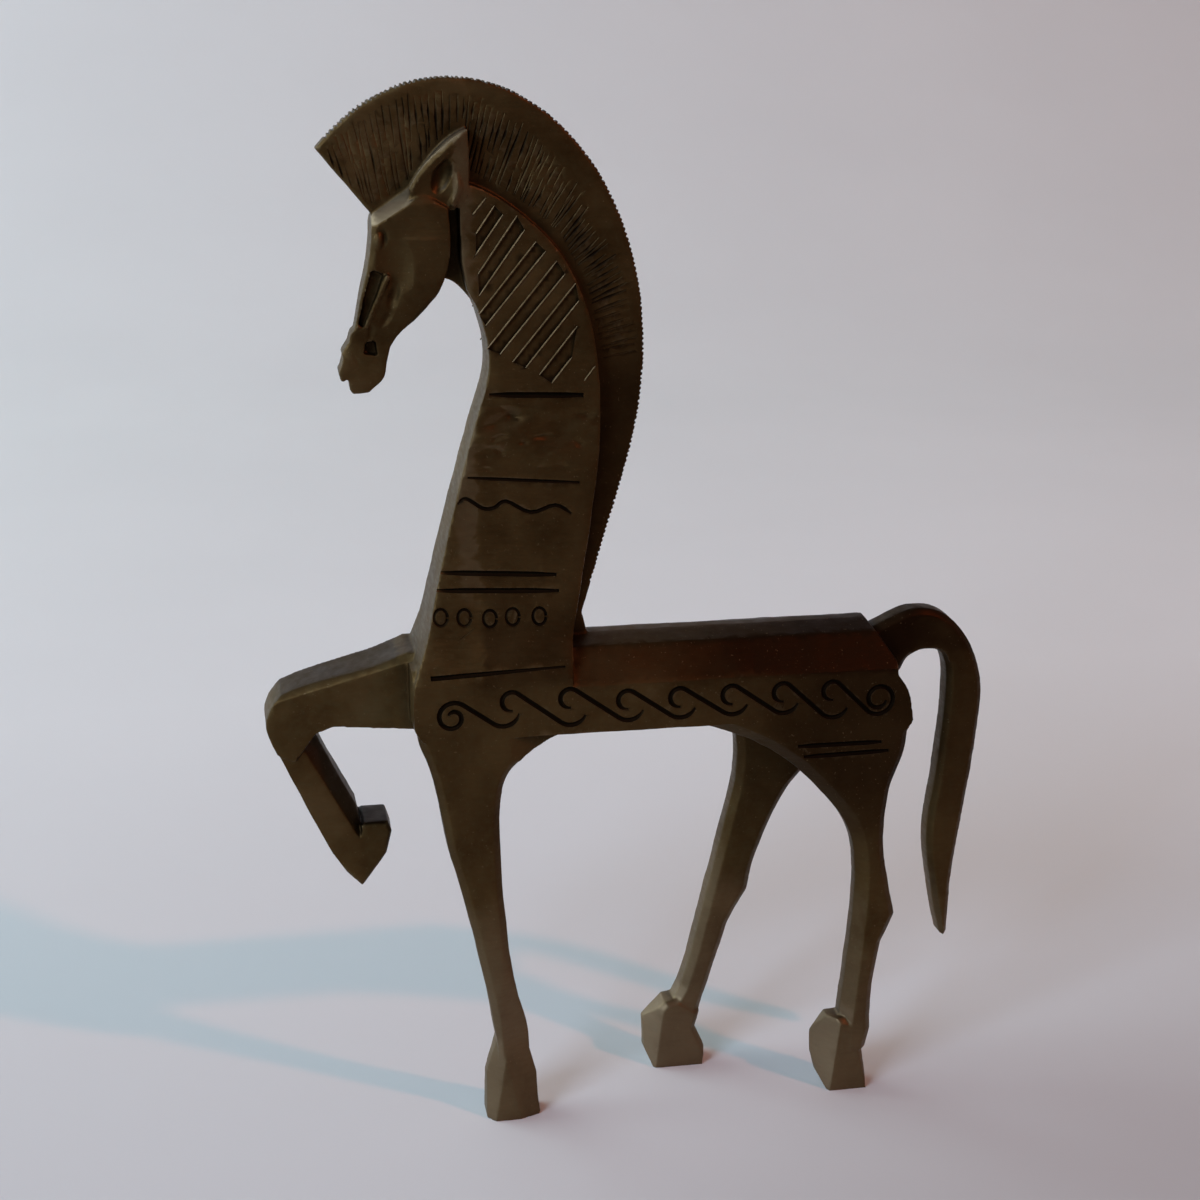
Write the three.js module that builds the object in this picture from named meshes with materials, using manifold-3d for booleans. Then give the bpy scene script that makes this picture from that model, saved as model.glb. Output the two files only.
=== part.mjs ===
// Bronze horse figure in an angular, early Greek manner, cast in one piece.
// It stands on three hooves, with the right foreleg raised, a tall crest of mane and a hanging tail.
// Millimetres, +Z up. The horse faces -X, its left side faces -Y, and the soles lie at z = 0.

import * as THREE from 'three';
import { mergeVertices } from 'three/addons/utils/BufferGeometryUtils.js';
import Module from 'manifold-3d';

const wasm = await Module();
wasm.setup();

// Driving dimensions
const HALF_WIDTH = 9;
const LEG_INNER = 3.8;
const HOOF_INSET = 0.3;
const BELLY = 64.2;
const CREASE = 71.6;
const BACK = 77.7;
const BACK_HALF_FLAT = 3.8;
const CHEST = -34.6;
const RUMP = 42.3;
const CROUP = 36.6;
const CREST = { x: -27, z: 122, halfLength: 28.3, height: 38.3, tipReach: 18.8, steps: 24 };
const MANE_HALF = 1.5;
const TAIL_HALF = 2.3;
const HEAD_HALF = 4.4;
const THROAT_HALF = 2.6;
const EAR = { inner: 2.2, outer: 5.2, base: 141, middle: 147, tip: 154 };
const NOSE_TO_TAIL = [-60, 60];
const FOREARM_SPAN = { root: CHEST + 3, knee: -57, low: 57, high: 77 };
const RAISED = { root: [-2, HALF_WIDTH], knee: [0.8, HALF_WIDTH], shank: [1.6, HALF_WIDTH - 0.4] };

// Chamfers left by the founder's file along the edges
const LEG_EDGE = 1.1;
const BODY_EDGE = 0.4;
const HOOF_EDGE = 1.3;
const SHANK_EDGE = 0.8;
const HEAD_EDGE = 1;
const EAR_EDGE = 0.5;
const TAIL_EDGE = 0.5;
const HOOF_TOP = 14;
const CURVE_STEPS = 2;

// Joining and cutting

function solid(geometry) {
  const bare = geometry.clone();
  bare.deleteAttribute('normal');
  bare.deleteAttribute('uv');
  const merged = mergeVertices(bare, 1e-4);
  return new wasm.Manifold(
    new wasm.Mesh({
      numProp: 3,
      vertProperties: new Float32Array(merged.attributes.position.array),
      triVerts: new Uint32Array(merged.index.array),
    }),
  );
}

function join(...solids) {
  return solids.reduce((sum, next) => sum.add(next));
}

function geometryOf(manifold) {
  const mesh = manifold.getMesh();
  const geometry = new THREE.BufferGeometry();
  geometry.setAttribute('position', new THREE.BufferAttribute(mesh.vertProperties, 3));
  geometry.setIndex(new THREE.BufferAttribute(mesh.triVerts, 1));
  geometry.computeVertexNormals();
  return geometry;
}

// Outlines: each run after the start is a straight step to one point, or a smooth curve through several

function outline(start, ...runs) {
  const shape = new THREE.Shape();
  shape.moveTo(...start);
  for (const run of runs) {
    if (run.length === 1) {
      shape.lineTo(...run[0]);
    } else {
      shape.splineThru(run.map((point) => new THREE.Vector2(...point)));
    }
  }
  return shape;
}

// A slab whose outline is seen from the side, from y = from to y = to, with its edges chamfered
function sideSlab(shape, [from, to], edge) {
  const geometry = new THREE.ExtrudeGeometry(shape, {
    depth: to - from - 2 * edge,
    bevelEnabled: edge > 0,
    bevelThickness: edge,
    bevelSize: edge,
    bevelOffset: -edge,
    bevelSegments: 1,
    curveSegments: CURVE_STEPS,
  });
  geometry.rotateX(Math.PI / 2);
  geometry.translate(0, to - edge, 0);
  return solid(geometry);
}

// A prism whose outline is seen from the front, with y across and z up, along the whole horse
function frontPrism(shape, [from, to]) {
  const geometry = new THREE.ExtrudeGeometry(shape, {
    depth: to - from,
    bevelEnabled: false,
    curveSegments: CURVE_STEPS,
  });
  const axes = new THREE.Matrix4().makeBasis(
    new THREE.Vector3(0, 1, 0),
    new THREE.Vector3(0, 0, 1),
    new THREE.Vector3(1, 0, 0),
  );
  geometry.applyMatrix4(axes);
  geometry.translate(from, 0, 0);
  return solid(geometry);
}

// A prism whose outline is seen from above, with x along the horse and y across
function planPrism(shape, [from, to]) {
  const geometry = new THREE.ExtrudeGeometry(shape, { depth: to - from, bevelEnabled: false });
  geometry.translate(0, 0, from);
  return solid(geometry);
}

// A symmetric front outline from half widths at rising heights
function taperPrism(stations, span) {
  const up = stations.map(([z, half]) => [half, z]);
  const down = stations.map(([z, half]) => [-half, z]).reverse();
  const shape = outline(up[0], ...[...up.slice(1), ...down].map((point) => [point]));
  return frontPrism(shape, span);
}

// Trunk: upright sides, a soft crease, sloped panels and a flat back

function trunk() {
  const side = outline(
    [CHEST, CREASE + 3],
    [[CHEST, 66]],
    [[CHEST + 1.2, BELLY]],
    [[RUMP - 4, BELLY]],
    [[RUMP, 62.3], [RUMP, 65.3], [41.6, 68], [40, 70.4]],
    [[39.9, 72.6]],
    [[CROUP, BACK]],
    [[-24, BACK]],
  );
  const section = [
    [BELLY - 4, HALF_WIDTH],
    [CREASE, HALF_WIDTH],
    [BACK - 1.1, BACK_HALF_FLAT + 1],
    [BACK, BACK_HALF_FLAT],
  ];
  const whole = sideSlab(side, [-HALF_WIDTH, HALF_WIDTH], BODY_EDGE);
  return whole.intersect(taperPrism(section, NOSE_TO_TAIL));
}

// Neck: a tall curved slab that thins from the chest up to the poll

function neck() {
  const side = outline(
    [CHEST, 68],
    [[CHEST + 0.1, 73]],
    [[-32.1, 80], [-29.9, 89.5], [-27.3, 99.9], [-24.3, 110.8], [-22.4, 117.2], [-22.1, 122],
      [-23.6, 127.5], [-25.4, 130]],
    [[-25.6, 146]],
    [[-20.3, 143.6], [-12.5, 136.9], [-8.1, 129], [-6, 119.4], [-5.8, 108], [-7.5, 94.7], [-10.4, 79]],
    [[-11, 68]],
  );
  const taper = [
    [60, HALF_WIDTH],
    [73, HALF_WIDTH],
    [80, 7],
    [88, 5.6],
    [98, 4.7],
    [110, 4.1],
    [150, 3.5],
  ];
  return sideSlab(side, [-HALF_WIDTH, HALF_WIDTH], BODY_EDGE).intersect(taperPrism(taper, NOSE_TO_TAIL));
}

// Mane: a thin upright crest, its rim part of an ellipse that runs down into the withers

function mane() {
  const rim = new THREE.Shape();
  const tipAngle = Math.PI - Math.acos(CREST.tipReach / CREST.halfLength);
  rim.absellipse(CREST.x, CREST.z, CREST.halfLength, CREST.height, tipAngle, 0, true, 0);
  rim.quadraticCurveTo(CREST.x + CREST.halfLength - 0.2, 108, -8, 80.9);
  rim.lineTo(-7, BACK - 1);
  rim.lineTo(-14, BACK - 1);
  rim.lineTo(-12, 120);
  rim.lineTo(-22, 138);
  rim.lineTo(-38, 141.2);
  const geometry = new THREE.ExtrudeGeometry(rim, {
    depth: 2 * MANE_HALF,
    bevelEnabled: false,
    curveSegments: CREST.steps,
  });
  geometry.rotateX(Math.PI / 2);
  geometry.translate(0, MANE_HALF, 0);
  return solid(geometry);
}

// Head: a wedge from the broad brow to the narrow muzzle, held to the neck by the throat

function head() {
  const profile = outline(
    [-36.5, 144.2],
    [[-38.3, 141]],
    [[-38.5, 135.8], [-40.5, 127.1], [-42.1, 122.7], [-43.4, 119.2]],
    [[-42.9, 117.4]],
    [[-41.8, 115.9]],
    [[-39.4, 116.2], [-37.2, 118], [-36.6, 122.5]],
    [[-35, 124.9], [-31.3, 128], [-28.6, 131.6], [-27.1, 136], [-27.5, 142.3]],
    [[-32.3, 144.4]],
  );
  const taper = [
    [114, 2.3],
    [119, 2.5],
    [124, 2.4],
    [131, 3.6],
    [138, HEAD_HALF],
    [143, HEAD_HALF],
    [146, 3],
  ];
  const wedge = sideSlab(profile, [-HEAD_HALF, HEAD_HALF], HEAD_EDGE);
  const throat = outline([-35, 143], [[-35, 134]], [[-24, 131.5]], [[-20, 134]], [[-20, 144.5]]);
  return join(
    wedge.intersect(taperPrism(taper, NOSE_TO_TAIL)),
    sideSlab(throat, [-THROAT_HALF, THROAT_HALF], 0),
  );
}

// Ears: a pair of upright leaves that lean outwards from the poll

function ear(side) {
  const leaf = outline(
    [-33, 143.5],
    [[-31.6, 146.6], [-28.8, 150.4], [-24.8, 153.3]],
    [[-24.4, 146.4]],
    [[-27, 142]],
  );
  const faces = [side * EAR.inner, side * EAR.outer].sort((a, b) => a - b);
  const lean = [
    [EAR.base, HEAD_HALF + 0.4],
    [EAR.middle, EAR.outer],
    [EAR.tip, 4],
  ];
  return sideSlab(leaf, faces, EAR_EDGE).intersect(taperPrism(lean, NOSE_TO_TAIL));
}

// Legs: flat slabs with filed edges, each in the plane of its own side

function legSpan(side) {
  return side < 0 ? [-HALF_WIDTH, -LEG_INNER] : [LEG_INNER, HALF_WIDTH];
}

function standingForeleg() {
  const side = outline(
    [CHEST + 0.2, 68],
    [[-33.9, 63.8]],
    [[-31.7, 57], [-29.8, 46.5], [-27.8, 38.8], [-25.9, 30.2], [-24.1, 21.3], [-22.7, 10.5]],
    [[-17.8, 11]],
    [[-18, 15.9], [-20.1, 24.5], [-21.3, 35.5], [-21.8, 44], [-21.8, 53.4], [-20.2, 58.6], [-15.6, 62],
      [-8, BELLY]],
    [[-4, 68]],
  );
  return sideSlab(side, legSpan(-1), LEG_EDGE);
}

function leftHindLeg() {
  const side = outline(
    [4, 68],
    [[8, BELLY]],
    [[14.4, 62.1], [20.9, 58.6], [25.9, 54.4], [32.4, 46.7], [34.4, 40], [34.5, 32], [33.8, 23.1],
      [33.1, 16.4], [32.6, 10.8]],
    [[37.8, 9.8]],
    [[37.9, 18], [39, 25.4]],
    [[41.1, 30.2]],
    [[39.8, 36], [38.8, 43.5], [39.5, 51.4], [41.6, 57.6], [RUMP, 63.5]],
    [[RUMP - 0.4, 67]],
  );
  return sideSlab(side, legSpan(-1), LEG_EDGE);
}

function rightHindLeg() {
  const side = outline(
    [4, 68],
    [[8, BELLY]],
    [[14.6, 62], [17.7, 58], [17.9, 50.5], [16, 41.5], [12.7, 27.5], [10.6, 18.6], [9.2, 14]],
    [[7.4, 11]],
    [[12.6, 9]],
    [[14.1, 15.3], [16.9, 24.6]],
    [[20.1, 30.6]],
    [[21.6, 36.9], [25, 45], [28.9, 50.5], [36, 55.2], [41.4, 60.3], [RUMP, 65]],
    [[RUMP - 0.4, 67]],
  );
  return sideSlab(side, legSpan(1), LEG_EDGE);
}

// Hoof: a side outline cut to a plan with its four corners taken off

function hoof(side, profile, [heel, toe]) {
  const [from, to] = legSpan(side);
  const outerFace = side < 0 ? from + HOOF_INSET : to - HOOF_INSET;
  const innerFace = side < 0 ? to + HOOF_INSET : from - HOOF_INSET;
  const low = Math.min(outerFace, innerFace);
  const high = Math.max(outerFace, innerFace);
  const plan = outline(
    [toe, low + HOOF_EDGE],
    [[toe + HOOF_EDGE, low]],
    [[heel - HOOF_EDGE, low]],
    [[heel, low + HOOF_EDGE]],
    [[heel, high - HOOF_EDGE]],
    [[heel - HOOF_EDGE, high]],
    [[toe + HOOF_EDGE, high]],
    [[toe, high - HOOF_EDGE]],
  );
  return sideSlab(profile, [low - 1, high + 1], 0).intersect(planPrism(plan, [0, HOOF_TOP]));
}

function standingForehoof() {
  const profile = outline(
    [-24.4, 0],
    [[-15.9, 0]],
    [[-16.4, 4.3]],
    [[-16.4, 7.1]],
    [[-17.8, 12]],
    [[-22.8, 12]],
    [[-24.4, 6.6]],
  );
  return hoof(-1, profile, [-15.9, -24.5]);
}

function leftHindHoof() {
  const profile = outline(
    [30.8, 0],
    [[37.2, 0]],
    [[36.9, 3.8]],
    [[36.5, 8]],
    [[37.8, 11.4]],
    [[32.7, 11.6]],
    [[29.8, 8.1]],
    [[29.2, 5.4]],
  );
  return hoof(-1, profile, [37.8, 29]);
}

function rightHindHoof() {
  const profile = outline(
    [4.6, 0],
    [[12.8, 0]],
    [[13.2, 3.1]],
    [[11.6, 6.8]],
    [[13, 10.6]],
    [[7.6, 12]],
    [[3.7, 5.4]],
    [[3.9, 1.6]],
  );
  return hoof(1, profile, [13.3, 3.5]);
}

// Raised foreleg: a level forearm, a square knee, a shank folded back and a hoof turned under

function raisedForeleg() {
  const forearm = outline(
    [CHEST + 2, 63.8],
    [[-46.1, 64.5]],
    [[-48.7, 63.4]],
    [[-52, 59]],
    [[-54.6, 60.1]],
    [[-56.1, 64.4], [-55.4, 67.4], [-53.7, 69.6]],
    [[-50, 71], [-39.8, 73.8], [CHEST, 75.8]],
    [[CHEST + 2, 75.8]],
  );
  const plan = planPrism(
    outline(
      [FOREARM_SPAN.root, RAISED.root[0]],
      [[FOREARM_SPAN.root, RAISED.root[1]]],
      [[FOREARM_SPAN.knee, RAISED.knee[1]]],
      [[FOREARM_SPAN.knee, RAISED.knee[0]]],
    ),
    [FOREARM_SPAN.low, FOREARM_SPAN.high],
  );
  const shank = outline(
    [-54.8, 61],
    [[-50.2, 50.6], [-46.8, 43.4]],
    [[-44.7, 40]],
    [[-42.4, 37.6]],
    [[-38.4, 42.8]],
    [[-37.6, 46.4]],
    [[-38.2, 48.1]],
    [[-41.8, 48.1]],
    [[-42.8, 50.2]],
    [[-46.2, 56.9], [-48.7, 62.4]],
    [[-51, 66]],
  );
  return join(
    sideSlab(forearm, RAISED.root, LEG_EDGE).intersect(plan),
    sideSlab(shank, RAISED.shank, SHANK_EDGE),
  );
}

// Tail: springs level from the croup, turns over and hangs to a point

function tail() {
  const side = outline(
    [34, 74.8],
    [[38, 76.2], [44.1, 78.7], [49.5, 77.6], [54, 72.4], [56.1, 64.7], [55.2, 52.7], [52.7, 33.9],
      [52.3, 23.4]],
    [[51.9, 22.4]],
    [[51.1, 23]],
    [[49.6, 29.6], [48.1, 40.5], [49.3, 51.5], [50.3, 65.1], [49.5, 70.8], [46.7, 72], [43.9, 71],
      [42.5, 68.8]],
    [[38, 66]],
    [[34, 68]],
  );
  return sideSlab(side, [-TAIL_HALF, TAIL_HALF], TAIL_EDGE);
}

function horse() {
  const whole = join(
    trunk(),
    neck(),
    mane(),
    head(),
    ear(-1),
    ear(1),
    standingForeleg(),
    leftHindLeg(),
    rightHindLeg(),
    standingForehoof(),
    leftHindHoof(),
    rightHindHoof(),
    raisedForeleg(),
    tail(),
  );
  return geometryOf(whole);
}

const bronze = new THREE.MeshStandardMaterial({ color: 0x3a2e24, roughness: 0.48, metalness: 0.85 });

const figure = new THREE.Group();
const body = new THREE.Mesh(horse(), bronze);
body.name = 'horse';
figure.add(body);

export default figure;
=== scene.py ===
"""A small bronze horse in an angular early Greek manner, with its finish, stage, lights and camera.

The horse is first laid out in millimetres: a handful of slabs with true outlines, joined, softened as a
casting and then cut with the engraver's lines. The finished mesh is in metres, +Z up, the horse faces -X
and its left side faces -Y, which is the side the camera sees.
"""

import math
import random

import bmesh
import bpy
from mathutils import Matrix, Vector, noise
from mathutils.bvhtree import BVHTree
from mathutils.geometry import interpolate_bezier


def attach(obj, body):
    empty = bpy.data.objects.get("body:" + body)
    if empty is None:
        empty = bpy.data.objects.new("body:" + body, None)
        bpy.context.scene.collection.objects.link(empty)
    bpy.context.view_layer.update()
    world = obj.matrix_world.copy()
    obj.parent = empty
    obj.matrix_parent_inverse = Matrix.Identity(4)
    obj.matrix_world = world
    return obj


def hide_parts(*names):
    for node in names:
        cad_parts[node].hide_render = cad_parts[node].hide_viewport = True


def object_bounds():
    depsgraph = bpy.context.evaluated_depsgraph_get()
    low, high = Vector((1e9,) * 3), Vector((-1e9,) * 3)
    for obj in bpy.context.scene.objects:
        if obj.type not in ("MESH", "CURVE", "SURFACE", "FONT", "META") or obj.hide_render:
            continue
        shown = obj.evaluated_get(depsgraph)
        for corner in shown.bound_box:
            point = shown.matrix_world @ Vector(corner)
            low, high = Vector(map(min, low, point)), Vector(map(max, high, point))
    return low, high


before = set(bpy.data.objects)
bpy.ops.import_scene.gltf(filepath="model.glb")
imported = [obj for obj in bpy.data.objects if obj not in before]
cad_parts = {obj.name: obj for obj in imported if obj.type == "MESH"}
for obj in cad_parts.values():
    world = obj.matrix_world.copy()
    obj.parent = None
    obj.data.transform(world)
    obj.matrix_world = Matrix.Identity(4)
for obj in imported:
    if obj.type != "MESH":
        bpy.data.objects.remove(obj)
cad_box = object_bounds()

bl_info = {
    "name": "Bronze Horse",
    "version": (1, 0, 0),
    "blender": (4, 5, 0),
    "location": "View3D > Sidebar > Bronze Horse",
    "description": "Builds a cast bronze horse with cut lines, mane and patina, and a stage for it",
    "category": "Add Mesh",
}

# One millimetre in metres, and the signs of the side that the camera sees and of the far side
MM = 0.001
NEAR = -1
FAR = 1

# Sizes of the horse in millimetres, angles in degrees, and the number of steps in a curve's span
HALF_WIDTH = 9
LEG_INNER = 3.8
LEG_TOP = 61
LEG_EDGE = 1.1
LEFT_HIND_CORNER = 1.9
HOOF_INSET = 0.15
HOOF_EDGE = 0.8
RAISED_LEG_INNER = 0.75
RAISED_SHANK_OUTER = 8.6
RAISED_HOOF_OUTER = 8.8
RAISED_HOOF_EDGE = 0.5
NOSE_RIDGE = 0.48
BELLY = 64.2
CREASE = 71.6
BACK = 77.7
BACK_SHOULDER_DROP = 1.1
BACK_SHOULDER_HALF = 4.8
BACK_CROWN_HALF = 1.0
CHEST = -34.6
RUMP = 42.3
CROUP = 36.6
CREST = (-27, 122)
CREST_HALF_LENGTH = 28.3
CREST_HEIGHT = 38.3
CREST_TIP_ANGLE = 131.6
MANE_HALF = 1.5
MANE_EDGE = 0.35
THROAT_HALF = 1.3
TAIL_HALF = 2.3
TAIL_EDGE = 0.9
CURVE_STEPS = 6
SHARP_ANGLE = 38

# How near two points are that count as one place, and the reach within which doubled points are merged
SAME_PLACE = 0.01
WELD = 0.0005

# Height and half width pairs of the parts that taper upwards
TRUNK_WIDTHS = [
    (BELLY - 4, HALF_WIDTH),
    (CREASE, HALF_WIDTH),
    (BACK - BACK_SHOULDER_DROP, BACK_SHOULDER_HALF),
    (BACK, BACK_CROWN_HALF),
]
NECK_WIDTHS = [(60, 9), (73, 9), (80, 7), (88, 5.6), (98, 4.7), (110, 4.1), (150, 3.5)]
HEAD_WIDTHS = [(114, 2.3), (119, 2.5), (124, 2.4), (131, 3.6), (138, 4.4), (143, 4.4), (146, 3)]


def between(value, pairs):
    """The value read off a list of position and value pairs, straight between them."""
    if value <= pairs[0][0]:
        return pairs[0][1]
    for (low, first), (high, second) in zip(pairs, pairs[1:]):
        if value <= high:
            return first + (second - first) * (value - low) / (high - low)
    return pairs[-1][1]


def smooth_run(knots, steps=CURVE_STEPS):
    """Points of one smooth curve through all the knots, without the first knot."""
    points = []
    for index in range(len(knots) - 1):
        start, end = knots[index], knots[index + 1]
        before = knots[max(index - 1, 0)]
        after = knots[min(index + 2, len(knots) - 1)]
        leave = start + (end - before) / 6
        arrive = end - (after - start) / 6
        points.extend(interpolate_bezier(start, leave, arrive, end, steps + 1)[1:])
    return points


def outline(start, *runs):
    """A side outline. A run of one point is a straight edge, a longer run is a smooth curve."""
    points = [Vector((start[0], 0, start[1]))]
    for run in runs:
        knots = side_points(*run)
        if len(knots) == 1:
            points.append(knots[0])
        else:
            points.extend(smooth_run([points[-1]] + knots))
    return points


def arc(centre, radius, start, end, steps):
    """Points of an arc in the side plane. The radius is one number, or a spiral's first and last."""
    first, last = radius if isinstance(radius, tuple) else (radius, radius)
    points = []
    for index in range(steps + 1):
        part = index / steps
        angle = math.radians(start + (end - start) * part)
        reach = first + (last - first) * part
        points.append(Vector((centre[0] + reach * math.cos(angle), 0, centre[1] + reach * math.sin(angle))))
    return points


def slab(points, low, high, *chamfers):
    """A flat-sided solid of a side outline, from low to high across the horse. Each chamfer is a size and a
    test that picks the points of the rims it is cut along."""
    bm = bmesh.new()
    face = bm.faces.new([bm.verts.new((point.x, low, point.z)) for point in points])
    grown = bmesh.ops.extrude_face_region(bm, geom=[face])
    moved = [item for item in grown["geom"] if isinstance(item, bmesh.types.BMVert)]
    bmesh.ops.translate(bm, vec=(0, high - low, 0), verts=moved)
    bmesh.ops.recalc_face_normals(bm, faces=bm.faces)
    for size, picked in chamfers:
        rims = [edge for edge in bm.edges if abs(edge.verts[0].co.y - edge.verts[1].co.y) < SAME_PLACE
                and all(picked(vert.co) for vert in edge.verts)]
        bmesh.ops.bevel(bm, geom=rims, offset=size, offset_type="OFFSET", segments=1, profile=0.5,
                        affect="EDGES", material=-1)
    bmesh.ops.triangulate(bm, faces=bm.faces)
    return bm


def anywhere(point):
    """Picks every point."""
    return True


def everything(bm):
    """All the points, edges and faces of a shape."""
    return bm.verts[:] + bm.edges[:] + bm.faces[:]


def cut_levels(bm, levels):
    """Adds an edge loop at each height."""
    for level in levels:
        bmesh.ops.bisect_plane(bm, geom=everything(bm), plane_co=(0, 0, level), plane_no=(0, 0, 1))


def tapered(points, widths, chamfer=0.0, picked=anywhere):
    """A slab on both sides of the middle whose half width follows the height."""
    widest = max(width for _, width in widths)
    bm = slab(points, -widest, widest, *([(chamfer, picked)] if chamfer else []))
    cut_levels(bm, [level for level, _ in widths])
    for vert in bm.verts:
        vert.co.y *= between(vert.co.z, widths) / widest
    return bm


def planed(bm, point, normal):
    """Cuts away what lies beyond a plane and closes the cut."""
    cut = bmesh.ops.bisect_plane(bm, geom=everything(bm), plane_co=point, plane_no=normal, clear_outer=True)
    rim = [item for item in cut["geom_cut"] if isinstance(item, bmesh.types.BMEdge)]
    bmesh.ops.holes_fill(bm, edges=rim, sides=0)
    return bm


def blob(centre, radii, turn=(0, 0, 0)):
    """A ball drawn out to three radii and turned by degrees about X, Y and Z."""
    bm = bmesh.new()
    bmesh.ops.create_icosphere(bm, subdivisions=3, radius=1)
    spin = Matrix.Identity(4)
    for degrees, axis in zip(turn, "XYZ"):
        spin = Matrix.Rotation(math.radians(degrees), 4, axis) @ spin
    place = Matrix.Translation(centre) @ spin @ Matrix.Diagonal((*radii, 1))
    bmesh.ops.transform(bm, matrix=place, verts=bm.verts)
    return bm


def mirrored(bm):
    """The same shape on the other side of the horse."""
    twin = bm.copy()
    bmesh.ops.scale(twin, vec=(1, -1, 1), verts=twin.verts)
    bmesh.ops.reverse_faces(twin, faces=twin.faces)
    return twin


def mesh_object(name, *shapes):
    """One object of all the shapes, which are used up."""
    mesh = bpy.data.meshes.new(name)
    whole = bmesh.new()
    for bm in shapes:
        bm.to_mesh(mesh)
        whole.from_mesh(mesh)
        bm.free()
    whole.to_mesh(mesh)
    whole.free()
    made = bpy.data.objects.new(name, mesh)
    bpy.context.scene.collection.objects.link(made)
    return made


def evaluated(made):
    """The object's mesh with its modifiers applied."""
    bpy.context.view_layer.update()
    graph = bpy.context.evaluated_depsgraph_get()
    return bpy.data.meshes.new_from_object(made.evaluated_get(graph))


def settled(made):
    """The object with its modifiers applied to its own mesh."""
    mesh = evaluated(made)
    old = made.data
    made.modifiers.clear()
    made.data = mesh
    bpy.data.meshes.remove(old)
    return made


def discard(made):
    """Removes a helper object and its data."""
    data = made.data
    bpy.data.objects.remove(made)
    if isinstance(data, bpy.types.Curve):
        bpy.data.curves.remove(data)
    else:
        bpy.data.meshes.remove(data)


def carved(bm, *cutters):
    """The shape with the cutters' volume taken away."""
    body = mesh_object("carved", bm)
    tools = [mesh_object("tool", cutter) for cutter in cutters]
    for tool in tools:
        change = body.modifiers.new("cut", "BOOLEAN")
        change.operation = "DIFFERENCE"
        change.solver = "MANIFOLD"
        change.object = tool
    settled(body)
    result = bmesh.new()
    result.from_mesh(body.data)
    for item in [body] + tools:
        discard(item)
    return result


def trunk():
    """The barrel and the croup, with the slanted panels of the back."""
    side = outline(
        (CHEST, CREASE + 3),
        [(CHEST, 66)],
        [(CHEST + 1.2, BELLY)],
        [(RUMP - 4, BELLY)],
        [(RUMP, 62.3), (RUMP, 65.3), (41.6, 68), (40, 70.4)],
        [(39.9, 72.6)],
        [(CROUP, BACK)],
        [(-24, BACK)],
    )
    return tapered(side, TRUNK_WIDTHS)


def neck():
    """The arched neck, a tall slab that widens to the chest."""
    side = outline(
        (CHEST, 68),
        [(CHEST + 0.1, 73)],
        [(-32.1, 80), (-29.9, 89.5), (-27.3, 99.9), (-24.3, 110.8), (-22.4, 117.2), (-22.1, 122),
         (-23.3, 127.1), (-24.9, 130.6), (-25.7, 134.6)],
        [(-26.0, 146)],
        [(-20.3, 143.6), (-12.5, 136.9), (-8.1, 129), (-6, 119.4), (-5.8, 108), (-7.5, 94.7), (-10.4, 79)],
        [(-11, 68)],
    )
    return tapered(side, NECK_WIDTHS)


def crest_point(angle):
    """A point on the mane's rim, by its angle on the crest's ellipse."""
    across, up = math.cos(math.radians(angle)), math.sin(math.radians(angle))
    return Vector((CREST[0] + CREST_HALF_LENGTH * across, 0, CREST[1] + CREST_HEIGHT * up))


def mane_rim():
    """The mane's whole rim, from its front tip over the top and down to the withers."""
    steps = 60
    over = [crest_point(CREST_TIP_ANGLE * (1 - index / steps)) for index in range(steps + 1)]
    down = side_points((1.1, 117), (0.3, 110.5), (-1.5, 103), (-4.2, 94), (-8, 80.9))
    return over + smooth_run([over[-1]] + down)


def mane():
    """The thin plate of the mane, behind the head and the neck."""
    inner = side_points((-7, BACK - 1), (-14, BACK - 1), (-12, 120), (-22, 138), (-38, 141.2))
    return slab(mane_rim() + inner, -MANE_HALF, MANE_HALF, (MANE_EDGE, anywhere))


# How much wider or narrower than its height's width the head is along its length
HEAD_SPREAD = [(-39, 0.9), (-32.3, 1.04), (-27, 0.97)]


def on_head(point):
    """How far the head's side lies from the middle at this point."""
    return between(point.z, HEAD_WIDTHS) * between(point.x, HEAD_SPREAD)


def side_points(*pairs):
    """Points in the side plane."""
    return [Vector((x, 0, z)) for x, z in pairs]


# The tools that sink a flat recess reach this far out of the surface, and their floor is cut up this finely
RECESS_REACH = 1.5
FLOOR_STEP = 0.8
FLOOR_START = 0.3
FLOOR_ROUGHNESS = 0.06
FLOOR_GRAIN = 1.3


def recess(points, surface, depth, side=NEAR):
    """The tool that sinks this outline into a side, to one depth, with a slightly rough floor."""
    bm = slab(points, -RECESS_REACH, depth)
    for axis in (0, 2):
        low = min(point[axis] for point in points)
        high = max(point[axis] for point in points)
        normal = Vector((0, 0, 0))
        normal[axis] = 1
        for step in range(1, int((high - low) / FLOOR_STEP) + 1):
            place = normal * (low + FLOOR_STEP * step - FLOOR_START)
            bmesh.ops.bisect_plane(bm, geom=everything(bm), plane_co=place, plane_no=normal)
    for vert in bm.verts:
        vert.co.y += FLOOR_ROUGHNESS * noise.noise(vert.co * FLOOR_GRAIN) - surface(vert.co)
    return bm if side == NEAR else mirrored(bm)


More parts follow.
